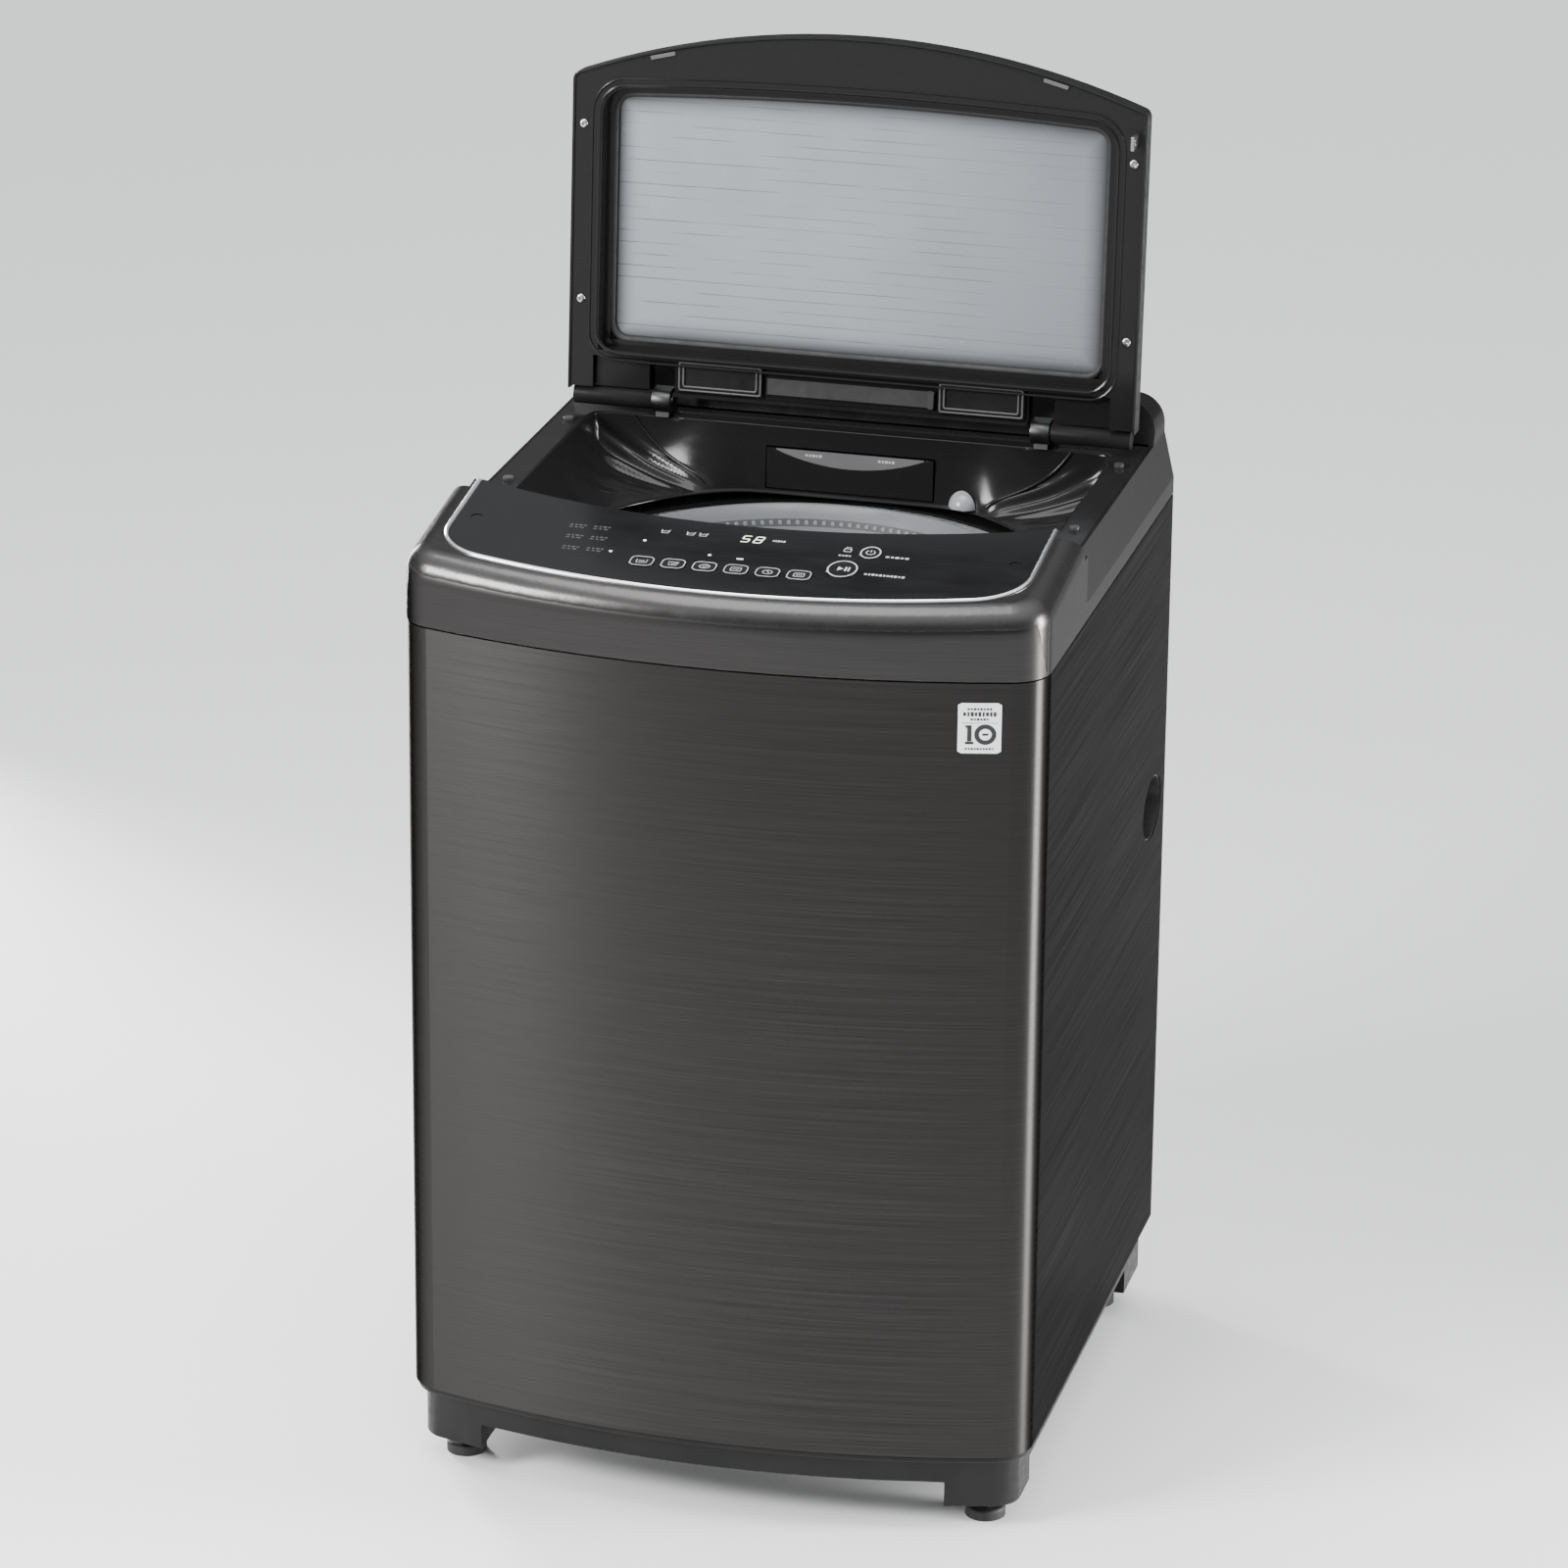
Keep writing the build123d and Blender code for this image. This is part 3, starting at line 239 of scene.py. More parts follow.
def cover_paint():
    """Metallic paint over plastic: fine flakes under a clear coat."""
    look = Look("cover_paint", (0.062, 0.060, 0.059), 0.26, Metallic=0.85, Coat_Weight=0.08,
                Coat_Roughness=0.08, Specular_Tint=grey(0.12))
    flake = look.noise(0.35, detail=1.0)
    look.tint(look.span(flake, 0.0, 1.0, 0.5, 0.8), (0.16, 0.155, 0.15), 0.3)
    look.gloss(look.noise(30.0), 0.23, 0.29)
    return look.relief(look.noise(1.2, detail=1.0), 0.004, 0.3)


GLASS_LINE_PITCH = 0.0122
GLASS_HALF = (0.228, 0.252)             # in metres: where the pane's dark sides begin and end
GLASS_TOP = (1.262, 1.285)
GLASS_FOOT = (1.030, 1.052)
GLASS_BOW = 0.126                       # metres of rise per square metre across


def glass_lines(look, height):
    """How strongly a level, wavering, broken line shows, from 0 to 1."""
    waver = look.span(look.noise(70.0, stretch=(4.0, 1.0, 1.0)), -0.0009, 0.0009)
    phase = look.math("DIVIDE", look.math("ADD", height, waver), GLASS_LINE_PITCH)
    nearness = look.math("ABSOLUTE", look.math("SUBTRACT", look.math("FRACT", phase), 0.5))
    line = look.span(nearness, 1.0, 0.0, 0.02, 0.06)
    patches = look.noise(26.0, stretch=(2.5, 1.0, 0.5), detail=1.0)
    return look.math("MULTIPLY", line, look.span(patches, 0.0, 1.0, 0.42, 0.56))


def glass_rim(look, height):
    """From 0 over the pane's middle to 1 at its edge."""
    across = look.math("ABSOLUTE", look.axis("X"))
    rise = look.math("MULTIPLY", look.math("POWER", across, 2.0), GLASS_BOW)
    bowed = look.math("ADD", height, rise)
    sides = look.span(across, 0.0, 1.0, *GLASS_HALF)
    top = look.span(bowed, 0.0, 1.0, *GLASS_TOP)
    foot = look.span(height, 1.0, 0.0, *GLASS_FOOT)
    rim = look.math("MAXIMUM", sides, look.math("MAXIMUM", top, foot))
    return look.math("POWER", rim, 1.6)


def lined_glass():
    """Silvered grey pane with faint broken lines across it, a darker blurred rim, and painted shade that
    darkens it towards +x.
    """
    look = Look("lid_glass", (0.33, 0.35, 0.38), 0.22, Metallic=0.35, Coat_Weight=0.4,
                Coat_Roughness=0.04)
    height = look.axis("Z")
    look.tint(glass_lines(look, height), (0.12, 0.13, 0.15), 0.9)
    look.tint(look.span(look.noise(160.0), 0.0, 1.0), (0.43, 0.45, 0.48), 0.6)
    look.gloss(look.noise(40.0), 0.18, 0.28)
    # Painted shade: the pane is tinted darker towards +x, where it is less lit.
    look.tint(look.span(look.axis("X"), 0.0, 1.0, 0.0, 0.25), (0.17, 0.185, 0.205), 0.6)
    look.tint(glass_rim(look, height), (0.015, 0.015, 0.017), 0.92)
    return look.relief(look.noise(45.0, detail=1.0), 0.05, 0.2)


def circuit_board():
    """Green board with copper-coloured tracks."""
    look = Look("circuit_board", (0.01, 0.09, 0.04), 0.4)
    tracks = look.cells(6.0)
    look.tint(look.span(tracks, 0.0, 1.0, 0.45, 0.5), (0.5, 0.36, 0.1), 0.6)
    return look.relief(tracks, 0.05, 0.4)


HOSE_PITCH = 0.008


def corrugated_hose():
    """Soft grey hose, ribbed along its length."""
    look = moulded("hose", (0.07, 0.07, 0.075), 0.55)
    ring = look.math("SINE", look.math("MULTIPLY", look.axis("Y"), 2 * math.pi / HOSE_PITCH))
    return look.relief(ring, 0.3, 0.6)


def shining(name, color, strength):
    """A lit indicator behind smoked glass, a little uneven across its face."""
    look = Look(name, color, 0.4)
    look.tint(look.noise(3.0), [c * 0.8 for c in color], 0.5)
    look.shader.inputs["Emission Color"].default_value = (*color, 1.0)
    look.shader.inputs["Emission Strength"].default_value = strength
    return look


EVEN = (1.0, 1.0, 1.0)
LOOKS = {
    "cabinet_steel": cabinet_steel(),
    "rear_steel": brushed("rear_steel", (0.30, 0.30, 0.31), 0.42, along=EVEN, line_mm=9.0),
    "screw_steel": brushed("screw_steel", (0.48, 0.48, 0.47), 0.24, along=EVEN, line_mm=0.4),
    "dark_plastic": moulded("dark_plastic", (0.0085, 0.0083, 0.008), 0.4, Specular_IOR_Level=0.16),
    "foot_rubber": moulded("foot_rubber", (0.014, 0.014, 0.014), 0.62, grain_mm=1.1),
    "cover_plastic": cover_paint(),
    "chrome": brushed("chrome", (0.93, 0.93, 0.93), 0.2, along=(30.0, 30.0, 30.0), line_mm=0.3),
    "panel_gloss": polished("panel_gloss", (0.006, 0.006, 0.0065), 0.16, Specular_IOR_Level=0.1),
    "key_gloss": polished("key_gloss", (0.007, 0.007, 0.0075), 0.2, Specular_IOR_Level=0.12),
    "board": circuit_board(),
    "deck_gloss": polished("deck_gloss", (0.011, 0.0107, 0.0107), 0.15, Specular_IOR_Level=0.24),
    "nozzle_grey": polished("nozzle_grey", (0.25, 0.26, 0.275), 0.2, Subsurface_Weight=0.1),
    "lid_glass": lined_glass(),
    "hinge_metal": brushed("hinge_metal", (0.06, 0.06, 0.06), 0.4, along=(1.0, 1.0, 40.0)),
    "tub_plastic": moulded("tub_plastic", (0.62, 0.63, 0.64), 0.5),
    "basket_steel": brushed("basket_steel", (0.42, 0.42, 0.43), 0.24, along=(50.0, 50.0, 1.0)),
    "ring_plastic": polished("ring_plastic", (0.125, 0.13, 0.14), 0.3, wave_mm=60.0,
                             Subsurface_Weight=0.05),
    "pulsator_plastic": polished("pulsator_plastic", (0.42, 0.44, 0.47), 0.3),
    "cast_alloy": moulded("cast_alloy", (0.46, 0.46, 0.47), 0.5, grain_mm=1.6, depth_mm=0.12,
                          Metallic=0.9),
    "shaft_steel": brushed("shaft_steel", (0.45, 0.45, 0.46), 0.28, along=(30.0, 30.0, 1.0)),
    "water_plastic": moulded("water_plastic", (0.66, 0.66, 0.63), 0.45),
    "hose_grey": corrugated_hose(),
}


def printed(name, color, roughness, grain_mm):
    """Ink or paper: matt, with a fine and shallow grain."""
    return moulded(name, color, roughness, grain_mm=grain_mm, depth_mm=0.01)


EXTRA = {
    # Black for the dark joints, and for painted shadow lines such as the one round the front band.
    "gap": moulded("joint_and_shadow_black", (0.004, 0.004, 0.004), 0.7),
    "print": printed("print_grey", (0.42, 0.43, 0.44), 0.45, 0.3),
    "faint": printed("print_faint", (0.03, 0.03, 0.031), 0.4, 0.3),
    "paper": printed("label_paper", (0.84, 0.85, 0.86), 0.35, 0.4),
    "ink": printed("label_ink", (0.012, 0.012, 0.014), 0.4, 0.4),
    "digits": shining("digits", (0.72, 0.86, 0.62), 0.6),
    "lamp": shining("lamp", (0.80, 0.86, 0.88), 0.35),
    "band": brushed("band_steel", (0.052, 0.050, 0.049), 0.33, along=BRUSHED_LEVEL,
                    line_mm=0.4, Specular_Tint=grey(0.1)),
    "lid_satin": moulded("lid_satin", (0.009, 0.009, 0.009), 0.42, depth_mm=0.01,
                         Specular_IOR_Level=0.06),
    "ring_light": polished("ring_light", (0.30, 0.31, 0.33), 0.25),
    "edge_grey": moulded("edge_grey", (0.075, 0.075, 0.075), 0.35),
    "plate_grey": moulded("plate_grey", (0.035, 0.035, 0.035), 0.35),
    "grip": moulded("drawer_grip", (0.11, 0.11, 0.112), 0.35, grain_mm=0.5),
    "blue": moulded("cold_mark", (0.02, 0.10, 0.42), 0.4),
    "red": moulded("hot_mark", (0.42, 0.03, 0.02), 0.4),
}


# -------- mesh helpers
def look_of(name):
    return (LOOKS.get(name) or EXTRA[name]).material


def open_lid():
    """The turn about the hinge that stands the shut lid up, in metres."""
    axis = Vector((0, HINGE_Y * MM, HINGE_Z * MM))
    turn = Matrix.Rotation(-math.radians(OPEN_ANGLE), 4, "X")
    return Matrix.Translation(axis) @ turn @ Matrix.Translation(-axis)


def add_object(name, data):
    made = bpy.data.objects.new(name, data)
    bpy.context.scene.collection.objects.link(made)
    return made


def piece(name, mesh, look, body, on_lid=False, bevel=None):
    """A named mesh piece from (points in millimetres, faces), riding on a body.
    """
    points, faces = mesh
    data = bpy.data.meshes.new(name)
    data.from_pydata([Vector(p) * MM for p in points], [], faces)
    data.validate()
    if on_lid:
        data.transform(open_lid())
    data.materials.append(look_of(look))
    data.shade_smooth()
    data.set_sharp_from_angle(angle=SMOOTH)
    made = add_object(name, data)
    if bevel:
        soften(made, bevel)
    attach(made, body)
    return made


def soften(made, width_mm, segments=2):
    """Rounds the sharp edges of a piece."""
    bevel = made.modifiers.new("rounded", "BEVEL")
    bevel.width = width_mm * MM
    bevel.segments = segments
    bevel.limit_method = "ANGLE"
    bevel.angle_limit = math.radians(32)
    bevel.harden_normals = True


def grid_faces(rows, columns, closed_rows=False, closed_columns=False):
    """Quads over a grid of points stored row by row."""
    faces = []
    for i in range(rows if closed_rows else rows - 1):
        for j in range(columns if closed_columns else columns - 1):
            below = i * columns
            above = ((i + 1) % rows) * columns
            beside = (j + 1) % columns
            faces.append((below + j, below + beside, above + beside, above + j))
    return faces


def swept(path, section, up=(0, 0, 1), closed=False):
    """Points and faces of a section of (sideways, upward) offsets carried along a path."""
    points = []
    count = len(path)
    for i, here in enumerate(path):
        before = path[i - 1] if closed or i else path[i]
        after = path[(i + 1) % count] if closed or i < count - 1 else path[i]
        ahead = (Vector(after) - Vector(before)).normalized()
        side = ahead.cross(Vector(up)).normalized()
        top = side.cross(ahead)
        points += [Vector(here) + side * s + top * t for s, t in section]
    n = len(section)
    faces = grid_faces(count, n, closed_rows=closed, closed_columns=True)
    if not closed:
        faces.append(tuple(range(n - 1, -1, -1)))
        faces.append(tuple(range((count - 1) * n, count * n)))
    return points, faces


def round_section(r, count=10):
    """A circle's section for swept()."""
    return [(r * math.cos(a), r * math.sin(a)) for a in steps(0, 2 * math.pi, count + 1)[:-1]]


def crowned_section(width, low, high, count=8):
    """A strip's section: flat below, crowned above."""
    rise = high - low
    turns = steps(0, math.pi, count)
    return [(width / 2 * math.cos(a), low + rise * math.sin(a)) for a in turns]


def arc_radius(half, rise):
    """The radius of an arc that is 2 * half wide and rises by rise."""
    return (half ** 2 + rise ** 2) / (2 * rise)


def polar(r, a, z):
    """A point at a radius and angle about the machine's axis."""
    return (r * math.cos(a), r * math.sin(a), z)


def steps(a, b, count):
    """Evenly spaced values from a to b, both included."""
    return [a + (b - a) * i / (count - 1) for i in range(count)]


def bowed_path(half, crown_y, bow, corner_r, inset=0.0, side_y=None, side_steps=2):
    """Plan points from the left side, round a bowed front with round corners, to the right side.

    With a side_y, straight sides run on to it. inset moves the whole line inwards.
    """
    big = arc_radius(half, bow)
    centre_y = crown_y + big
    fx = half - corner_r
    fy = centre_y - math.sqrt((big - corner_r) ** 2 - fx ** 2)
    turn = math.atan2(fx, centre_y - fy)
    r = corner_r - inset
    right = [(fx + r * math.sin(a), fy - r * math.cos(a)) for a in steps(turn, math.pi / 2, 12)]
    left = [(-x, y) for x, y in reversed(right)]
    front = [((big - inset) * math.sin(a), centre_y - (big - inset) * math.cos(a))
             for a in steps(-turn, turn, 44)][1:-1]
    path = left + front + right
    if side_y is not None:
        w = half - inset
        along = steps(side_y, right[-1][1], side_steps + 1)[:-1]
        path = [(-w, y) for y in along] + path + [(w, y) for y in reversed(along)]
    return path


def hood_z(y):
    """The height of the hood's flat crown."""
    return HOOD_FRONT_Z + (y - HOOD_REF_Y) * HOOD_SLOPE


def slab(outline, low, high):
    """Points and faces of a flat outline given thickness."""
    n = len(outline)
    points = [(x, y, z) for z in (low, high) for x, y in outline]
    faces = [tuple(range(n - 1, -1, -1)), tuple(range(n, 2 * n))]
    faces += [(i, (i + 1) % n, n + (i + 1) % n, n + i) for i in range(n)]
    return points, faces


def rounded_box(x, y, r, at=(0.0, 0.0)):
    """Outline of a rectangle with round corners, given by its half sizes."""
    outline = []
    for quarter, (right, up) in enumerate(((1, 1), (-1, 1), (-1, -1), (1, -1))):
        cx, cy = at[0] + right * (x - r), at[1] + up * (y - r)
        start = math.radians(90 * quarter)
        for a in steps(start, start + math.pi / 2, 5):
            outline.append((cx + r * math.cos(a), cy + r * math.sin(a)))
    return outline


def oval(rx, ry, at=(0.0, 0.0), count=40):
    """Outline of an ellipse."""
    turns = steps(0, 2 * math.pi, count + 1)[:-1]
    return [(at[0] + rx * math.cos(a), at[1] + ry * math.sin(a)) for a in turns]


def joined(*meshes):
    """Several (points, faces) as one."""
    points, faces = [], []
    for more_points, more_faces in meshes:
        faces += [tuple(len(points) + k for k in f) for f in more_faces]
        points += list(more_points)
    return points, faces


def block(x, y, z):
    """A box between two limits on each axis."""
    corners = ((x[0], y[0]), (x[1], y[0]), (x[1], y[1]), (x[0], y[1]))
    points = [(a, b, c) for c in z for a, b in corners]
    faces = [(3, 2, 1, 0), (4, 5, 6, 7), (0, 1, 5, 4), (1, 2, 6, 5), (2, 3, 7, 6), (3, 0, 4, 7)]
    return points, faces


def cut_block(made, x, y, z):
    """Takes a box out of a piece for good."""
    points, faces = block(x, y, z)
    data = bpy.data.meshes.new("cutter")
    data.from_pydata([Vector(p) * MM for p in points], [], faces)
    cutter = add_object("cutter", data)
    carve = made.modifiers.new("carve", "BOOLEAN")
    carve.operation = "DIFFERENCE"
    carve.solver = "EXACT"
    carve.object = cutter
    bpy.context.view_layer.update()
    graph = bpy.context.evaluated_depsgraph_get()
    carved = bpy.data.meshes.new_from_object(made.evaluated_get(graph))
    made.modifiers.remove(carve)
    made.data = carved
    bpy.data.objects.remove(cutter)


# -------- the frame's own nodes
BEVELS = {
    "handle_cups": 1.0, "base_frame": 1.2, "detergent_drawer": 1.0, "hinge_brackets": 0.8,
    "lid_inner_frame": 0.8, "lid_hinge_barrels": 0.8, "lid_striker": 0.3, "inlet_valves": 0.8,
    "pulsator": 0.8, "basket_hub": 0.8, "drain_outlet": 0.6, "cord_gland": 0.6, "panel_screw_caps": 0.6,
    "lint_filters": 1.0, "balance_ring": 2.0, "rail_bumpers": 0.8,
}
NODE_LOOKS = {
    "lid_outer": "lid_satin",
    "lid_hinge_barrels": "lid_satin",
    "lid_striker": "shaft_steel",
}


def dress_nodes():
    """Gives every CAD node its material, and rounds the edges of those that show."""
    slot_of = {s["node"]: s["material_slot"] for s in frame["record"]["subparts"]}
    for name, node in frame["nodes"].items():
        node.data.materials.clear()
        node.data.materials.append(look_of(NODE_LOOKS.get(name, slot_of[name])))
        width = BEVELS.get(name)
        if width:
            weld = node.modifiers.new("welded", "WELD")
            weld.merge_threshold = 0.00002
            soften(node, width)


# -------- hood, trim and front band
def trim_path(inset):
    """The plan of the chrome's inner edge, moved outwards when inset is below zero."""
    return bowed_path(PANEL_HALF, PANEL_FRONT_Y, PANEL_BOW, PANEL_CORNER_R, inset, TRIM_END_Y, 4)


def chrome_trim():
    """The bright U round the panel: a crowned strip let into the hood."""
    path = [(x, y, hood_z(y)) for x, y in trim_path(-TRIM_W / 2)]
    mesh = swept(path, crowned_section(TRIM_W + 1.2, -3.0, 1.8))
    made = piece("chrome_u_trim", mesh, "chrome", "cabinet")
    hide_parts("chrome_trim")


def trim_shadow_line():
    """A narrow dark groove and a bright bead outside the chrome."""
    lines = (("trim_groove", 0.5, 0.7, "gap"), ("trim_bead", 1.9, 0.9, "cover_plastic"))
    for name, outside, r, look in lines:
        path = [(x, y, hood_z(y) - 0.25) for x, y in trim_path(-TRIM_W - outside)]
        piece(name, swept(path, round_section(r, 8)), look, "cabinet")


BAND_TOP_DROP = 13.0        # from the crown of the hood to the band's upper edge
BAND_ENDS = (0.955, 0.905)  # how far round the front the band reaches, at its foot and top
BAND_ROWS, BAND_COLUMNS = 12, 70
BAND_BURIED = -0.6


def band_surface(s, z_share, proud, low):
    """A point on the hood's nose: s runs from corner to corner, z_share from seam to crease."""
    path = bowed_path(WIDTH / 2, FRONT_Y, FRONT_BOW, CORNER_R)
    place = s * (len(path) - 1)
    i = min(int(place), len(path) - 2)
    here, ahead_of = Vector((*path[i], 0)), Vector((*path[i + 1], 0))
    at = here.lerp(ahead_of, place - i)
    ahead = (ahead_of - here).normalized()
    out = Vector((ahead.y, -ahead.x, 0))
    at.z = low + (hood_z(at.y) - BAND_TOP_DROP - low) * z_share
    above = max(0.0, at.z - (hood_z(at.y) - HOOD_FILLET))
    back = HOOD_FILLET - math.sqrt(HOOD_FILLET ** 2 - above ** 2)
    return at + out * (proud - back)


def front_band(name, look, proud, grow):
    """The strip under the nose. Its ends slant inwards towards the top. grow widens its outline."""
    low = SEAM_Z + SEAM_CLEAR - grow * 0.1
    points = []
    for lift in (proud, BAND_BURIED):
        for i in range(BAND_ROWS):
            v = i / (BAND_ROWS - 1)
            end = BAND_ENDS[0] + (BAND_ENDS[1] - BAND_ENDS[0]) * v + grow * 0.0015
            points += [band_surface(s, v * (1.0 + grow * 0.03), lift, low)
                       for s in steps(1 - end, end, BAND_COLUMNS)]
    count = BAND_ROWS * BAND_COLUMNS
    front = grid_faces(BAND_ROWS, BAND_COLUMNS)
    faces = front + [tuple(count + k for k in reversed(f)) for f in front]
    top = (BAND_ROWS - 1) * BAND_COLUMNS
    rim = list(range(BAND_COLUMNS))
    rim += [i * BAND_COLUMNS + BAND_COLUMNS - 1 for i in range(1, BAND_ROWS)]
    rim += [top + j for j in range(BAND_COLUMNS - 2, -1, -1)]
    rim += [i * BAND_COLUMNS for i in range(BAND_ROWS - 2, 0, -1)]
    sides = [(rim[k - 1], rim[k], count + rim[k], count + rim[k - 1]) for k in range(len(rim))]
    mesh = points, faces + sides[::-1]
    piece(name, mesh, look, "cabinet", bevel=0.25)


JOINT_TURN = math.radians(74)       # round the front corner, from straight ahead
CORNER_MIDDLE_Y = -250.5
JOINT_TOP_Z = 938.0


def side_slots():
    """The dark upright joint behind each front corner of the hood."""
    points, faces = block((-0.9, 0.9), (-3.0, 0.25), (SEAM_Z + 0.5, JOINT_TOP_Z))
    for side, name in SIDES:
        out = Vector((side * math.sin(JOINT_TURN), -math.cos(JOINT_TURN), 0))
        along = Vector((side * math.cos(JOINT_TURN), math.sin(JOINT_TURN), 0))
        middle = Vector((side * (WIDTH / 2 - CORNER_R), CORNER_MIDDLE_Y, 0))
        laid = [middle + along * x + out * (CORNER_R + y) + Vector((0, 0, z)) for x, y, z in points]
        piece(f"side_slot_{name}", (laid, faces), "gap", "cabinet", bevel=0.2)


# -------- control panel print
HOOD_TILT = math.atan(HOOD_SLOPE)


def on_panel(mesh, at, lift=0.0):
    """Lays a flat shape on the panel's slope with its origin at a plan place."""
    turn = Matrix.Rotation(HOOD_TILT, 3, "X")
    base = Vector((at[0], at[1], hood_z(at[1])))
    points, faces = mesh
    return [base + turn @ (Vector(p) + Vector((0, 0, lift))) for p in points], faces


PRINT = (-0.05, 0.12)       # the lower and upper face of a printed shape


def stroke(points, width=0.7, low=PRINT[0], high=PRINT[1], closed=False):
    """A printed line of constant width through plan points."""
    half = width / 2
    section = [(-half, low), (-half, high), (half, high), (half, low)]
    return swept([(x, y, 0.0) for x, y in points], section, closed=closed)


def ring_line(outline, width=0.7):
    """A printed line round a closed outline."""
    return stroke(outline, width, closed=True)


def printed_box(x, y, r, at=(0.0, 0.0)):
    """A filled printed rectangle, given by its half sizes."""
    return slab(rounded_box(x, y, r, at=at), *PRINT)


MARK_WIDTHS = (0.72, 0.5, 0.8, 0.62)


def text_bar(x0, x1, y, height, marks=7):
    """A line of small marks that stands for a label, with no letters in it."""
    pitch = (x1 - x0) / marks
    bars = []
    for i in range(marks):
        half_x = pitch * MARK_WIDTHS[i % 4] / 2
        half_y = height * (0.5 if i % 3 else 0.42)
        bars.append(printed_box(half_x, half_y, 0.25, at=(x0 + pitch * (i + 0.5), y)))
    return joined(*bars)


def key_icons():
    """A generic line drawing for each option key: tray, cup, check, wave, dial and bars."""
    return [joined(*drawing) for drawing in (
        [stroke([(-5, 3), (-5, -3.5), (5, -3.5), (5, 3)]), stroke([(-3, 0), (3, 0)])],
        [stroke([(-5, 3), (-3.5, -3.5), (3.5, -3.5), (5, 3)], closed=True),
         stroke([(-2, 0.5), (0, -1.5), (3, 1.5)])],
        [ring_line(oval(5, 3.8, count=24)), stroke([(-2.2, 0.2), (-0.4, -1.6), (2.6, 1.8)])],
        [ring_line(rounded_box(5, 3.8, 1.2)), stroke([(-3, -1), (-1, 1), (1, -1), (3, 1)])],
        [ring_line(oval(4.6, 3.8, count=24)), stroke([(0, 0), (0, 2.6)]), stroke([(0, 0), (2, -0.8)])],
        [ring_line(rounded_box(5, 3.6, 1.0))] + [stroke([(x, -1.6), (x, 1.6)]) for x in (-2.2, 0, 2.2)],
    )]


def start_drawing():
    """A triangle beside two bars."""
    triangle = slab([(-4.5, 4.2), (-4.5, -4.2), (1.0, 0.0)], *PRINT)
    return [triangle] + [printed_box(0.9, 4.2, 0.3, at=(x, 0)) for x in (3.2, 6.4)]


def power_drawing():
    """An open ring with a short upright line."""
    turns = steps(0.6, 2 * math.pi - 0.6, 20)
    ring = stroke([(4.2 * math.sin(a), 4.2 * math.cos(a)) for a in turns], 0.9)
    return [ring, stroke([(0, 0.5), (0, 5.2)], 0.9)]


def dress_key(node, *drawing):
    """Prints a drawing on the top of a key."""
    low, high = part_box(node)
    at = ((low.x + high.x) / 2 / MM, (low.y + high.y) / 2 / MM)
    piece(f"print_{node}", on_panel(joined(*drawing), at, KEY_PROUD), "print", node)


def dress_keys():
    """A printed ring and icon on the top of each key."""
    for i, icon in enumerate(key_icons()):
        dress_key(f"option_key_{i + 1}", ring_line(rounded_box(11.0, 9.0, 5.6), 0.8), icon)
    dress_key("start_key", ring_line(oval(13.8, 16.6), 1.3), *start_drawing())
    dress_key("power_key", ring_line(oval(9.3, 11.8), 1.3), *power_drawing())


SEGMENTS = {
    "a": ((-3.2, 6.4), (3.2, 6.4)), "b": ((3.6, 6.0), (3.6, 0.4)), "c": ((3.6, -0.4), (3.6, -6.0)),
    "d": ((-3.2, -6.4), (3.2, -6.4)), "e": ((-3.6, -0.4), (-3.6, -6.0)), "f": ((-3.6, 6.0), (-3.6, 0.4)),
    "g": ((-3.2, 0.0), (3.2, 0.0)),
}
DIGIT_LEAN = 0.16


def digit(lit, at):
    """A seven-segment figure, leaning a little."""
    lines = []
    for name in lit:
        ends = [(at[0] + x + y * DIGIT_LEAN, at[1] + y) for x, y in SEGMENTS[name]]
        lines.append(stroke(ends, 1.5, 0.0, 0.15))
    return joined(*lines)


def print_on_panel(name, look, parts, lift=-PANEL_TOP_DROP):
    """Several (mesh, plan place) as one printed piece."""
    mesh = joined(*(on_panel(mesh, at, lift) for mesh, at in parts))
    piece(name, mesh, look, "cabinet")


DISPLAY_LIFT = -0.6
DIGITS_AT = ((2.0, -187.5), (14.5, -187.5))
UNIT_AT = (34.0, -186.5)
LAMPS_AT = ((-92.4, -209.7), (-118.2, -238.4), (-23.4, -228.0))
BAR_LAMP_AT = (7.1, -230.4)
BASIN_XS, BASIN_Y = (-78.2, -53.1, -40.6), -187.0
LOCK_AT, LOCK_WORD_AT = (103.0, -190.0), (103.0, -204.0)
START_WORD_AT, POWER_WORD_AT = (150.0, -238.0), (153.0, -199.0)
LIST_X, LIST_PITCH, LIST_LEAN = -164.0, 24.0, 3.0
LIST_YS = (-192.0, -214.0, -238.0)


def panel_symbols():
    """Three small basins and the child lock with its word."""
    basin = joined(stroke([(-4, 3.4), (-3, -3.2), (3, -3.2), (4, 3.4)], 0.8),
                   stroke([(-3.4, 1.2), (-1, 0.2), (1, 1.4), (3.4, 0.4)], 0.7))
    lock = joined(ring_line(rounded_box(3.4, 3.0, 0.8, at=(0, -2.4)), 0.8),
                  stroke([(-2.2, 0.6), (-2.2, 3.6), (2.2, 3.6), (2.2, 0.6)], 0.8))
    word = text_bar(-6.5, 6.5, 0, 2.6, 4)
    return [(basin, (x, BASIN_Y)) for x in BASIN_XS] + [(lock, LOCK_AT), (word, LOCK_WORD_AT)]


def programme_list():
    """The unlit programme names: three rows of two, each in two lines."""
    upper, lower = text_bar(-9.0, 9.0, 2.2, 3.0, 4), text_bar(-9.0, 7.0, -2.6, 2.4, 3)
    faint = []
    for row, y in enumerate(LIST_YS):
        for column in range(2):
            at = (LIST_X + LIST_PITCH * column + LIST_LEAN * row, y)
            faint += [(upper, at), (lower, at)]
    return faint


